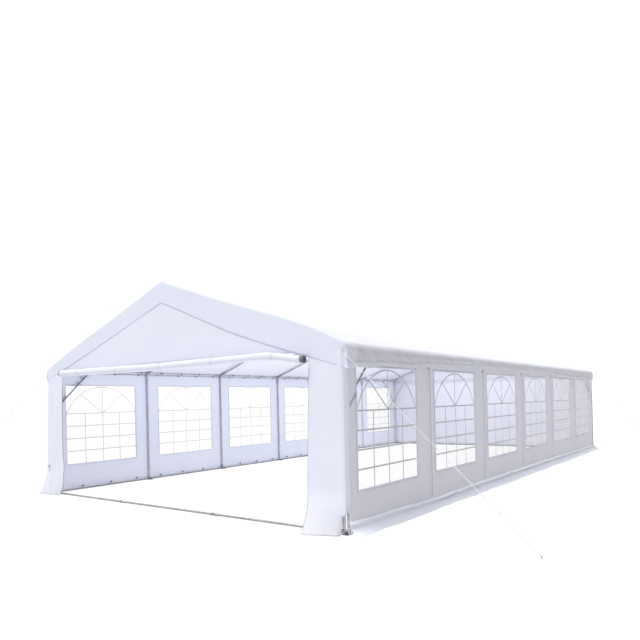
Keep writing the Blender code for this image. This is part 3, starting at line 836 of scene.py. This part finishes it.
def backFace(x, z):
    # Y of the back wall: broad billows that die away at its edges.
    spots = (x / backWall["half"] + 1) / 2, np.clip(z / backWall["top"], 0, 1)
    free = np.sin(np.pi * spots[0]) ** 0.5 * np.sin(np.pi * spots[1]) ** 0.5
    return backWall["y"] + backWall["billow"] * free * (0.35 + 0.65 * unevenness(x, z * 0.6, 1.3, 101))


def makeBackWall():
    # The wall, and two upright zips that follow its billows just behind it.
    half, bottom, top = backWall["half"], backWall["bottom"], backWall["top"]
    x, z = np.linspace(-half, half, 90)[None, :], np.linspace(bottom, top, 34)[:, None]
    sheetPiece("backWallCloth", gridOf(x, backFace(x, z), z), wallSheeting, backWall["cloth"], flip=True,
               node="back_wall", flat=(2 * half, top - bottom), held="stretched",
               rests_on=["back_cross_beam", "back_ground_bar"])
    zips, z = [], np.linspace(0.10, top - 0.01, 40)[:, None]
    for place in backWall["zips"]:
        x = place + np.array([-0.012, 0.012])
        zips.append(shapeOf(gridOf(x, backFace(x, z) + 0.0014, z)))
    finishPiece("backWallZips", joined(zips), zipTape, thickness=0.001, flip=True)


makeBackWall()
print("back wall done")


# Mud flaps on the ground along three sides

skirt = {
    "cloth": 0.0018,
    "out": (0, 0.014, 0.040, 0.048, 0.078, 0.124, 0.178),
    "height": (1.0, 0.97, 0.80, 0.45, 0.27, 0.11, 0.0),  # as shares of the top's height
    "places": (-5.6, -5.3, -4.9, -4.15, -3.6, -2.6, 0.4, 2.0, 3.0, 4.15, 5.6),  # along the tent, for the tops
    "top": (0.137, 0.118, 0.127, 0.101, 0.096, 0.114, 0.118, 0.12, 0.11, 0.10, 0.095),
    "start": 0.0024,  # from the middle of the wall's cloth
    "ruffle": 0.010,
    "edgeWave": 0.018,
    "rows": 30,
    "shade": (-1.0, 0.75, -0.5),  # painted highlight along the top, painted shade in the fold below it, painted highlight at the hem
    "rounded": 0.03,  # of its front and back corners
    "width": 0.235,
}


def skirtSection(along, down, seed, length):
    # Distance out from the wall and height: a small shelf at its top, then a smooth fall to the ground,
    # with ruffles that grow towards the hem.
    knots = np.linspace(0, 1, len(skirt["out"]))
    spots = np.clip(down + np.linspace(-0.045, 0.045, 9), 0, 1)
    out, share = (np.interp(spots, knots, skirt[key]).mean(axis=1)[:, None] for key in ("out", "height"))
    top = smoothed(along, 0.2, skirt["places"], skirt["top"], 9)
    top = top + 0.003 * unevenness(along, 0.0, 0.5, seed + 3)
    ruffle = unevenness(along, 0.0, 0.33, seed + 1) + 0.6 * unevenness(along, 0.0, 0.15, seed + 2)
    ruffle = skirt["ruffle"] * np.maximum(ruffle, 0) * np.sin(np.pi * np.clip(down, 0, 0.97)) ** 0.8
    out = out + skirt["edgeWave"] * down ** 2 * (unevenness(along, 0.0, 0.55, seed) - 0.6)
    fromEnd = np.clip((length - np.abs(along)) / skirt["rounded"], 0, 1)
    out = np.clip(out * (1 - 0.04 * (1 - fromEnd) ** 2 * down), 0, skirt["out"][-1] + 0.01)
    return out + skirt["start"], share * top + ruffle + skirt["cloth"] / 2 + 0.0003


def makeSkirt(name, seed, side=None):
    # The section drawn along one wall; without a side it is the back wall's.
    down = np.linspace(0, 1, skirt["rows"])[:, None]
    length = wall["end"] if side else backWall["half"]
    along = np.linspace(-length, length, 300 if side else 150)[None, :]
    out, height = skirtSection(along, down, seed, length)
    # Painted light and shade of the flap, patchy along its length.
    low, fold, hem = skirt["shade"]
    dark = low * (1 - ease(down, 0.20, 0.33)) + fold * hump(down, 0.42, 0.10) + hem * ease(down, 0.55, 0.95)
    dark = dark * (1 + 0.35 * unevenness(along, 0.0, 0.8, seed + 4))
    if side:
        dark = dark * (0.35 + 0.65 * ease(along, -5.0, -3.2))  # the painted shading is weaker near the front
        grid = gridOf(side * (wall["middleX"] + out), along, height)
    else:
        billow = backFace(along, 0.12) - backWall["y"]
        grid = gridOf(along, backWall["y"] + out + billow * (1 - down), height)
    sheetPiece(name + "MudFlap", grid, flapSheeting, skirt["cloth"], dark, flip=side is None or side > 0,
               node=name + "_skirt", flat=(2 * length, skirt["width"]), held="hung",
               rests_on=[name + "_wall"])


for name, side in sides.items():
    makeSkirt(name, 111 + 5 * side, side)
makeSkirt("back", 131)
print("mud flaps done")


# Curtains beside the open front

curtain = {
    "cloth": 0.0016,
    "y": 5.8462,
    "proud": 0.0018,  # of the side walls
    "top": 1.98,
    "topWidth": 0.475,
    "fold": 0.50,
    "foldWidth": 0.535,
    "inner": {1: (2.520, 0.225), -1: (2.645, 0.03)},  # hem at the inner edge: from the middle, and forward
    "outerForward": {1: 0.08, -1: 0.10},  # and at the outer edge
    "outerHem": 2.938,  # where the right one's outer edge hangs loose to the ground
    "power": 2.2,
    "flareHeights": (0.0, 0.13, 0.30, 0.56, 1.06, 1.55, 1.82),  # the left one's outer edge stands out below
    "flare": (0.190, 0.155, 0.114, 0.076, 0.048, 0.030, 0.006),
    "tuckHeights": (0.0, 0.14, 0.33, 0.66, 1.06, 1.55, 1.9),  # and its inner edge is drawn towards the post
    "tuck": (0.0, -0.02, 0.06, 0.104, 0.087, 0.053, 0.016),
    "slit": 0.235,  # below this height the outer edge hangs free of the corner
    "curl": 0.012,  # of that loose edge, back to the post
    "wave": {1: 0.006, -1: 0.012},
    "hemWave": 0.010,
    # painted shade towards the curtains' feet, by side
    "footDark": {1: 0.7, -1: 0.3},
    "return": 0.075,  # how far it runs on round the corner
    "rowsBelow": 16,
    "rowsAbove": 30,
    "width": 0.62,
    "zip": (-0.005, 0.010),  # across the inner edge
}


def curtainGrid(side):
    # Rows from hem to top, from the free inner edge to the corner. Below the fold the cloth swings forward
    # by a power curve, and upright waves run through it.
    outer = wallHigh[0] + curtain["proud"]
    low = np.linspace(0, curtain["slit"], curtain["rowsBelow"], endpoint=False)
    z = np.concatenate([low, np.linspace(curtain["slit"], curtain["top"], curtain["rowsAbove"])])[:, None]
    below = np.clip(1 - z / curtain["fold"], 0, 1)
    fall = below ** curtain["power"]
    rising = np.clip((z - curtain["fold"]) / (curtain["top"] - curtain["fold"]), 0, 1)
    width = curtain["foldWidth"] + (curtain["topWidth"] - curtain["foldWidth"]) * rising
    innerHem, innerForward = curtain["inner"][side]
    innerX = outer - width + (innerHem - (outer - curtain["foldWidth"])) * below ** 1.3
    free = 1 - ease(z, curtain["slit"] * 0.8, curtain["slit"])
    if side > 0:
        outerX = outer - (outer - curtain["outerHem"]) * free
    else:
        outerX = outer + smoothed(z, 0.06, curtain["flareHeights"], curtain["flare"], 7)
        innerX = innerX + smoothed(z, 0.06, curtain["tuckHeights"], curtain["tuck"], 7)
    across = np.linspace(0, 1, 30)[None, :]
    x = innerX + (outerX - innerX) * across
    forward = (innerForward + (curtain["outerForward"][side] - innerForward) * across) * fall
    waves = unevenness(x, 0.12 * z, 0.24, 141 + side) * np.sin(np.pi * across) ** 0.6
    waves = curtain["wave"][side] * np.abs(waves * (1 - 0.85 * ease(z, 1.5, 1.9)))
    hemWaves = unevenness(x, 0.0, 0.13, 151 + side) * np.sin(np.pi * across) ** 0.5
    y = -(curtain["y"] + forward + waves + curtain["hemWave"] * fall * np.abs(hemWaves))
    if side > 0:
        y = y + np.minimum(ease(across, 0.9, 1.0) * free * curtain["curl"], forward)
    return gridOf(side * x, y, z + curtain["cloth"] / 2 * (z < 0.001))


def makeCurtain(side, name):
    # The face, and a strip that runs on round the corner and turns inward to the wall by a squared sine.
    face = curtainGrid(side)
    edge = face[curtain["rowsBelow"] if side > 0 else 2:, -1:]
    share = np.linspace(0, 1, 9)[None, :, None]
    inward = (np.abs(edge[..., :1]) - wallHigh[0] - curtain["proud"]) * 0.8 * (-side, 0, 0)
    turned = edge + share * (0, curtain["return"], 0) + np.sin(share * np.pi / 2) ** 2 * inward
    shape = joined([shapeOf(roundCorners(face)), shapeOf(roundCorners(turned))])
    uv = np.concatenate([clothUv(face), clothUv(turned) + (0.58, 0)])
    # Painted shade, darker towards the foot.
    dark = curtain["footDark"][side] * (1 - ease(shape[0][:, 2], 0.03, 0.42))
    finishPiece(name + "Curtain", shape, wallSheeting, uv, dark, curtain["cloth"], flip=side < 0,
                node=f"front_{name}_leg_panel", flat=(curtain["width"], curtain["top"] + 0.05), held="hung",
                rests_on=["front_cross_beam", f"{name}_post_1"])
    edge, beside = face[3:-3, 0], face[3:-3, 1]
    band = np.stack([edge + distance * unit(beside - edge) for distance in curtain["zip"]]) + (0, 0.0018, 0)
    finishPiece(name + "CurtainZip", shapeOf(band), zipTape, thickness=0.0012, flip=side > 0)


for name, side in sides.items():
    makeCurtain(side, name)
print("curtains done")


# Door wall rolled up over the open front: one sheet, wound in a spiral

rolledDoor = {
    "cloth": 0.0014,
    "y": middleOf("rolled_door")[1],
    "places": (-2.47, -0.235, 2.03, 2.463),
    "heights": (1.975, 1.952, 1.966, 1.893),
    "radiusPlaces": (-2.47, -2.03, -1.1, 0.3, 1.69, 1.89, 2.1, 2.4, 2.463),
    "radii": (0.0520, 0.0535, 0.0525, 0.0505, 0.0470, 0.0515, 0.0480, 0.0450, 0.0430),
    "core": 0.009,
    "turns": 9.4,
    "lastTurn": -2.2,  # where the free edge lies
    "length": 1.95,
    "perTurn": 22,
    "steps": 104,
    "lumps": 0.035,
    "flat": 0.05,
    "uneven": 0.006,  # of its ends
    "ties": (-1.95, -0.98, 0.02, 1.03, 2.03),
    "pinch": 0.09,
    "zipWidth": (0.018, 0.042),  # at the left end and at the right one
}


def rollLine(x):
    # Height of the roll's axis.
    return smoothed(x, 0.16, rolledDoor["places"], rolledDoor["heights"], 9)


def rollRadius(x):
    # Outer radius along the roll, narrower under each tie.
    radius = np.interp(x, rolledDoor["radiusPlaces"], rolledDoor["radii"])
    for tie in rolledDoor["ties"]:
        radius = radius * (1 - rolledDoor["pinch"] * hump(x, tie, 0.045))
    return radius


def rollSurface(x):
    # A spiral at each place along the roll: its radius grows evenly with the turn, from a tight core to
    # the outside, and it is lumpy and a little flattened.
    share = np.linspace(0, 1, int(rolledDoor["turns"] * rolledDoor["perTurn"]))[:, None]
    turn = rolledDoor["lastTurn"] + 2 * np.pi * rolledDoor["turns"] * (share - 1)
    lumpy = 1 + rolledDoor["lumps"] * share * unevenness(x * 2, np.sin(turn) * 0.3, 0.8, 161)
    flat = 1 - rolledDoor["flat"] * share * np.cos(2 * turn)
    radius = (rolledDoor["core"] + (rollRadius(x) - rolledDoor["core"]) * share) * lumpy * flat / 1.04
    uneven = rolledDoor["uneven"] * unevenness(share * 5, 0.0, 1.6, 162) * ease(np.abs(x), 2.3, 2.5)
    y, z = rolledDoor["y"] + radius * np.cos(turn), rollLine(x) + radius * np.sin(turn)
    return gridOf(x - np.abs(uneven) * np.sign(x), y, z)


def makeRoll():
    # The sheet, and the zip tape wound up with it at both ends.
    x = np.linspace(rolledDoor["places"][0], rolledDoor["places"][-1], rolledDoor["steps"])
    sheetPiece("rolledDoorWall", rollSurface(x), wallSheeting, rolledDoor["cloth"], node="rolled_door",
               flat=(float(x[-1] - x[0]), rolledDoor["length"]), held="folded",
               rests_on=["frontGable", "rightCurtain", "leftCurtain"])
    zips = []
    for end, outward, width in zip((x[0], x[-1]), (-1, 1), rolledDoor["zipWidth"]):
        band = rollSurface(end + outward * width * np.array([-0.1, 0.3, 0.65, 1.0]))
        zips.append(shapeOf(band[:, ::outward]))
    finishPiece("rolledDoorZips", joined(zips), woundZip, thickness=0.0024)


def makeTies():
    # A flat strap round the roll at each tie.
    parts, turn = [], circle(28)[:, None]
    for tie in rolledDoor["ties"]:
        place = np.array([tie])
        radius = (rollRadius(place) * 1.02 + 0.0008) * (1 - rolledDoor["flat"] * np.cos(2 * turn))
        x = tie + np.array([-0.010, 0.010]) + 0.003 * np.sin(turn)
        y, z = rolledDoor["y"] + radius * np.cos(turn), rollLine(place) + radius * np.sin(turn)
        parts.append(shapeOf(gridOf(x, y, z), True))
    finishPiece("doorTies", joined(parts), tieWebbing, thickness=0.001)


makeRoll()
makeTies()
print("rolled door done")


# Steel: finishes for the frame's tubes, then sleeves, bolts and pegs

# The far tubes take the painted lighter finish, the braces and the ground tubes the darker ones with painted
# shade.
finishes = (  # the first line with a word of the node's name counts
    (("back_left_brace", "back_cross_beam"), farSteel),
    (("left_post_6", "left_post_7", "right_post_7", "rafter_pair_6", "rafter_pair_7"), farSteel),
    (("brace",), braceSteel),
    (("ground_bar",), barSteel),
    (("ground",), groundSteel),
    (("eave_rail",), railSteel),
    (("post", "rafter", "ridge", "rail", "beam"), galvanised),
)
for name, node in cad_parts.items():
    for words, finish in finishes:
        if any(word in name for word in words):
            node.data.materials.clear()
            node.data.materials.append(finish)
            break

fittings = {
    "radius": 0.0222,
    "length": 0.13,
    "start": 0.030,  # from the crossing of the tubes
    "boltPlace": 0.085,  # from the sleeve's start
    "boltHead": 0.0085,
    "washer": 0.0018,
}
groundParts = {
    "sleeves": (-1.03, 0.92),  # along the bars across the ends
    "sleeveHalf": 0.08,
    "sleeveWall": 0.0028,
    "sleeveBolt": 0.05,  # from the sleeve's middle
    "boltInset": 0.03,  # from the ends of the braces
    "pegInset": 0.060,
    "pegRadius": 0.0045,
    "peg": ((0, 0.033, 0), (0, 0.033, 0.030), (0.004, 0.031, 0.040), (0.012, 0.029, 0.043),
            (0.018, 0.027, 0.038), (0.020, 0.027, 0.028)),  # a rod with a hook, beside its post
}


def hexBolt(place, direction, size=1.0):
    # A six-sided head on a round washer, standing on a surface that faces the direction.
    place, direction, head = np.array(place, float), np.array(direction, float), fittings["boltHead"] * size
    base = place + direction * fittings["washer"]
    nut = tube(base, base + direction * head * 0.75, head, 6, 0.0008)
    return [tube(place, base, head * 1.15, 14, 0.0004), nut]


def makeFittings():
    # Sleeves of the eave and ridge fittings round the posts and rafters, each with a bolt through it.
    sleeves, bolts = [], []
    start, length, radius = fittings["start"], fittings["length"], fittings["radius"]
    down, inward = np.array([0, 0, -1.0]), np.array([-1.0, 0, 0])
    slope = np.array([-math.cos(pitch), 0, math.sin(pitch)])
    below = np.array([-math.sin(pitch), 0, -math.cos(pitch)])
    for y in postLines:
        eave, ridge = np.array([railMiddle[0], y, railMiddle[2]]), np.array([0, y, ridgeMiddle[2]])
        for flip in ((1, 1, 1), (-1, 1, 1)):
            for place, along, facing in ((eave, down, inward), (eave, slope, below), (ridge, -slope, below)):
                near, far = (place + along * start) * flip, (place + along * (start + length)) * flip
                sleeves.append(tube(near, far, radius, inner=tubeRadius + 0.0002))
                middle = place + along * (start + fittings["boltPlace"]) + facing * radius * 0.97
                bolts += hexBolt(middle * flip, facing * flip)
    finishPiece("fittingSleeves", joined(sleeves), galvanised)
    finishPiece("fittingBolts", joined(bolts), zincParts, smooth=False)


def makeGroundDetails():
    # Sleeves on the bars along the ground, bolts at the braces, and a peg through each foot plate.
    sleeves, bolts, pegs = [], [], []
    low, high = boxOf("front_ground_bar")
    barRadius = (high[2] - low[2]) / 2

    def addSleeve(middle, reach):
        wide = barRadius + groundParts["sleeveWall"]
        sleeves.append(tube(np.array(middle) - reach, np.array(middle) + reach, wide, inner=barRadius))

    for y in (groundBar[1], -groundBar[1]):
        for x in groundParts["sleeves"]:
            addSleeve((x, y, groundBar[2]), (groundParts["sleeveHalf"], 0, 0))
            for aside in (-groundParts["sleeveBolt"], groundParts["sleeveBolt"]):
                bolts += hexBolt((x + aside, y, groundBar[2] + barRadius + 0.0026), (0, 0, 1), 0.7)
    for side in (1, -1):
        for y in postLines[1:-1:2] + bay * 0.5:
            addSleeve((side * groundRail[0], y, groundRail[2]), (0, groundParts["sleeveHalf"], 0))
        for post in postLines:
            foot = np.array([side * (railMiddle[0] - groundParts["pegInset"]), post, 0])
            pegs.append(sweep(foot + np.array(groundParts["peg"]) * (side, 1, 1), groundParts["pegRadius"]))
    for end, sign in ends.items():
        for name, side in sides.items():
            low, high = boxOf(f"{end}_{name}_brace")
            inner, inset = (low if side > 0 else high)[0], groundParts["boltInset"]
            yPost, yFar = (low[1], high[1]) if sign < 0 else (high[1], low[1])
            bolts += hexBolt((inner, yPost - sign * inset, low[2] + inset), (-side, 0, 0))
            bolts += hexBolt((inner, yFar + sign * inset, high[2] - inset), (-side, 0, 0))
    finishPiece("groundSleeves", joined(sleeves), groundSteel)
    finishPiece("braceBolts", joined(bolts), zincParts, smooth=False)
    finishPiece("footPegs", joined(pegs), zincParts)


makeFittings()
makeGroundDetails()
print("steel done")


# Ball loops that hold the sheeting to the rails, with their eyelets

ballLoops = {
    "ball": 0.0125,
    "groundBall": 1.2,  # size of the balls near the ground, as a share
    "cord": 0.0012,
    "perBay": 4,
    "groundHeight": 0.068,
    "groundIn": -0.012,  # from the rail's inner side
    "groundPlaces": (-5.28, 5.6, 0.553),  # from, to and step
    "lowRow": -0.036,  # from the middle of the eave rail
    "highRow": 0.008,
    "highAside": 0.12,
    "eyelet": (0.008, 0.0017),  # radius and thickness
}


def makeBallLoops(side, name):
    # Balls against the inside of the rails. Each has a loop round the rail, and the lower ones also through
    # an eyelet of the wall.
    dice = np.random.default_rng(170 + side)
    step = (np.arange(ballLoops["perBay"]) + 0.5) / ballLoops["perBay"]
    places = np.concatenate([low + bay * step for low in postLines[:-1]])
    balls, loops, eyelets = [], [], []
    cord = ballLoops["cord"]
    rows = (
        (groundRail, ballLoops["groundHeight"], 0.0, groundRail[2] - 0.005),
        (railMiddle, railMiddle[2] + ballLoops["lowRow"], 0.0, tubeRadius),
        (railMiddle, railMiddle[2] + ballLoops["highRow"], ballLoops["highAside"], tubeRadius),
    )
    for number, (rail, height, aside, railRadius) in enumerate(rows):
        y = places + aside + dice.uniform(-0.03, 0.03, len(places))
        heights = height + dice.uniform(-0.003, 0.003, len(places))
        ball, gap = ballLoops["ball"], ballLoops["ball"] * 0.6
        inner, outer = rail[0] - railRadius - cord, wall["middleX"] + 0.0015
        low, high = rail[2] - railRadius - cord, rail[2] + railRadius + cord
        if number == 0:
            y = np.arange(*ballLoops["groundPlaces"])
            ball, gap = ball * ballLoops["groundBall"], ballLoops["groundIn"]
            high = max(high, height - 0.008)
        if number == 2:
            outer = rail[0] + railRadius + cord
        middle = (low + high) / 2
        balls.append(copies(ballShape(ball), gridOf(side * (inner - gap), y, heights[:len(y)])))
        link = ring((side * (outer + inner) / 2, 0, middle), (1, 0, 0), (0, 0, 1),
                    ((outer - inner) / 2, (high - low) / 2), cord)
        loops.append(copies(link, gridOf(0, y, 0)))
        if number < 2:
            size, thickness = ballLoops["eyelet"]
            place = (side * (wall["middleX"] + 0.0014), 0, middle)
            eyelet = ring(place, (0, 1, 0), (0, 0, 1), (size, size), thickness)
            eyelets.append(copies(eyelet, gridOf(0, y, 0)))
    finishPiece(name + "LoopBalls", joined(balls), blackRubber)
    finishPiece(name + "LoopCords", joined(loops), blackRubber)
    finishPiece(name + "Eyelets", joined(eyelets), zincParts)


for name, side in sides.items():
    makeBallLoops(side, name)
print("ball loops done")


# Guy ropes: three strands laid together, from each corner to its peg

guys = {
    "radius": 0.0037,
    "thicker": 1.3,  # all but the front right one
    "lay": 0.030,  # length of one full twist
    "top": 1.945,
    "foot": 0.020,
    "pegs": {"front_right": (4.95, -5.72), "front_left": (-4.5, -6.98), "back_right": (4.33, 6.98),
             "back_left": (-4.95, 6.6)},
    "pegTop": 0.0345,
    "pegRadius": 0.0062,
    "knot": ((0.09, 0.0055), (0.104, 0.00495)),  # the wraps below the top loop: distance and radius
}
stake = {
    "foot": (2.925, -5.824),
    "top": (2.930, -5.824),
    "height": 0.235,
    "radius": 0.019,
    "lacing": ((2.944, -5.832, 0.245), (2.941, -5.838, 0.16), (2.934, -5.836, 0.09), (2.911, -5.828, 0.045)),
    "lacingRadius": 0.0036,
    "balls": ((2.872, -5.828, 0.215), (2.921, -5.842, 0.052)),
    "toggle": (-2.958, -5.874, 0.465),  # at the left front corner
    "toggleCord": (0.004, 0.0, -0.09),
    "toggleRadius": 0.0028,
}


def strands(start, end, radius):
    # Three helices about a straight line, each a thinner round strand.
    length = np.linalg.norm(end - start)
    share = np.linspace(0, 1, int(length / guys["lay"] * 6))[:, None]
    across, upward = crossAxes((end - start) / length)
    parts = []
    for number in range(3):
        turn = 2 * np.pi * (share * length / guys["lay"] + number / 3)
        aside = 0.54 * radius * (np.cos(turn) * across + np.sin(turn) * upward)
        parts.append(sweep(start + (end - start) * share + aside, 0.52 * radius, 6))
    return parts


def makeGuy(corner):
    # The rope with the knot that closes its top loop and the loop round its peg, then eyelet and peg.
    end, name = corner.split("_")
    pegX, pegY = guys["pegs"][corner]
    foot = np.array([pegX, pegY, guys["foot"]])
    top = np.array([sides[name] * (halfWidth - 0.006), ends[end] * (tentEnd + 0.004), guys["top"]])
    direction = unit(foot - top)
    across, upward = crossAxes(direction)
    parts = strands(top, foot, guys["radius"] * (1 if corner == "front_right" else guys["thicker"]))
    for distance, size in guys["knot"]:
        parts.append(ring(top + direction * distance, across, upward, (size, size), 0.0028, 14))
    parts.append(ring(top + direction * 0.045, direction, upward, (0.045, 0.011), 0.0026, 26))
    parts.append(ring(foot - direction * 0.02, direction, across, (0.024, 0.011), 0.0026, 20))
    finishPiece(end + name + "Rope", joined(parts), ropeFibre, node=corner + "_guy")
    eyelet = ring(top, (1, 0, 0), (0, 0, 1), (0.011, 0.011), 0.0024)
    peg = tube((pegX, pegY, 0.0003), (pegX, pegY, guys["pegTop"]), guys["pegRadius"], 12, 0.0015)
    finishPiece(end + name + "PegAndEyelet", joined([eyelet, peg]), zincParts)


def makeStake():
    # A ground stake beside the front right post, laced to the post's foot: a rod with a flat head, a thin
    # cord along a path and two rubber balls. Then a ball on a cord at the front left corner.
    foot, top, height, radius = stake["foot"], stake["top"], stake["height"], stake["radius"]
    rod = tube((*foot, 0.0005), (*top, height), radius, lip=0.003)
    head = tube((*top, height - 0.008), (*top, height), radius * 1.6, lip=0.002)
    finishPiece("cornerStake", joined([rod, head]), zincParts)
    knots = np.array(stake["lacing"])
    spots = np.linspace(0, len(knots) - 1, 30)
    path = np.stack([np.interp(spots, np.arange(len(knots)), knots[:, axis]) for axis in range(3)], -1)
    wrap = ring((*foot, 0.045), (1, 0, 0), (0, 1, 0), (radius + 0.003, radius + 0.003), 0.003, 16)
    finishPiece("stakeLacing", joined([sweep(path, stake["lacingRadius"]), wrap]), ropeFibre)
    ball = ballShape(ballLoops["ball"])
    finishPiece("stakeBalls", copies(ball, stake["balls"]), blackRubber)
    hanging = np.array(stake["toggle"]) + np.linspace(0, 1, 14)[:, None] * stake["toggleCord"]
    toggle = joined([copies(ball, stake["toggle"]), sweep(hanging, stake["toggleRadius"])])
    finishPiece("cornerToggle", toggle, blackRubber)


for corner in guys["pegs"]:
    makeGuy(corner)
makeStake()
print("guys done")


# Camera, floor and light

cameraView = {
    "place": (6.482, -10.984, 1.433),
    "yaw": 36.63,  # degrees from +Y towards -X
    "pitch": 0.16,
    "roll": -1.38,
    "focalPixels": 585.6,
    "levelPixel": 399.5,  # where the sight line crosses the picture, from its top
    "picture": 640.0,
    "sensor": 36.0,
}
studio = {
    "floorColour": (0.10, 0.10, 0.102),
    "floorGlow": 0.96,
    "floorReach": 160.0,
    "suns": (  # strength, softness in degrees, direction it comes from
        ("key", 2.9, 38, (-0.15, -0.40, 0.90)),
        ("skyFill", 1.15, 150, (0.0, 0.0, 1.0)),
    ),
    "insideWidth": 4.6,
    "inside": (  # power, place along Y, height, length, turn and spread in degrees
        ("glowUnderRoof", 58, 0.0, 2.35, 11.2, 0, 180),
        ("glowFromFloor", 50, 0.0, 0.3, 11.0, 180, 95),
        ("glowAtBack", 16, 4.3, 2.3, 2.4, 0, 180),
    ),
    "backdrop": 1.2,
}
white = (1.0, 1.0, 1.0, 1.0)


def addObject(name, data):
    # Puts a mesh, lamp or camera into the scene.
    holder = bpy.data.objects.new(name, data)
    bpy.context.scene.collection.objects.link(holder)
    return holder


def makeCamera():
    # The sight line from yaw and pitch, then right and up turned about it by the roll.
    camera = bpy.data.cameras.new("photoCamera")
    camera.sensor_width = cameraView["sensor"]
    camera.lens = cameraView["sensor"] * cameraView["focalPixels"] / cameraView["picture"]
    camera.shift_y = cameraView["levelPixel"] / cameraView["picture"] - 0.5
    camera.clip_end = 400
    yaw, tilt, roll = (math.radians(cameraView[key]) for key in ("yaw", "pitch", "roll"))
    forward = np.array([-math.sin(yaw) * math.cos(tilt), math.cos(yaw) * math.cos(tilt), math.sin(tilt)])
    right, upward = crossAxes(forward)
    turnedRight = math.cos(roll) * right + math.sin(roll) * upward
    turnedUp = math.cos(roll) * upward - math.sin(roll) * right
    matrix = np.eye(4)
    matrix[:3] = np.stack([turnedRight, turnedUp, -forward, cameraView["place"]], -1)
    holder = addObject("photoCamera", camera)
    holder.matrix_world = Matrix(matrix.tolist())
    bpy.context.scene.camera = holder


def makeStudio():
    # A pale glowing floor, a white world, two suns and soft lamps for the light that fills the tent.
    reach = studio["floorReach"]
    mesh = bpy.data.meshes.new("studioFloor")
    mesh.from_pydata([(-reach, -reach, 0), (reach, -reach, 0), (reach, reach, 0), (-reach, reach, 0)], [],
                     [(0, 1, 2, 3)])
    material, tree, shader = newMaterial("studioFloor", studio["floorColour"], 0.9)
    glow = {"Emission Color": white, "Emission Strength": studio["floorGlow"], "Specular IOR Level": 0.0}
    setSockets(tree, shader, glow)
    mesh.materials.append(material)
    addObject("studioFloor", mesh)

    world = bpy.data.worlds.new("studioWorld")
    world.use_nodes = True
    tree = world.node_tree
    setSockets(tree, tree.nodes["Background"], {"Color": white, "Strength": studio["backdrop"]})
    world.cycles_visibility.diffuse = False
    bpy.context.scene.world = world
    bpy.context.scene.view_settings.view_transform = "Standard"
    for name, strength, softness, comesFrom in studio["suns"]:
        lamp = bpy.data.lights.new(name, "SUN")
        lamp.energy = strength
        lamp.angle = math.radians(softness)
        holder = addObject(name, lamp)
        holder.rotation_mode = "QUATERNION"
        holder.rotation_quaternion = Vector(comesFrom).to_track_quat("Z", "Y")
    for name, power, place, height, length, turn, spread in studio["inside"]:
        lamp = bpy.data.lights.new(name, "AREA")
        lamp.shape = "RECTANGLE"
        lamp.size, lamp.size_y = studio["insideWidth"], length
        lamp.energy = power
        lamp.spread = math.radians(spread)
        holder = addObject(name, lamp)
        holder.location = (0, place, height)
        holder.rotation_euler = (math.radians(turn), 0, 0)
        holder.visible_camera = False


makeCamera()
makeStudio()
print("camera and studio done")
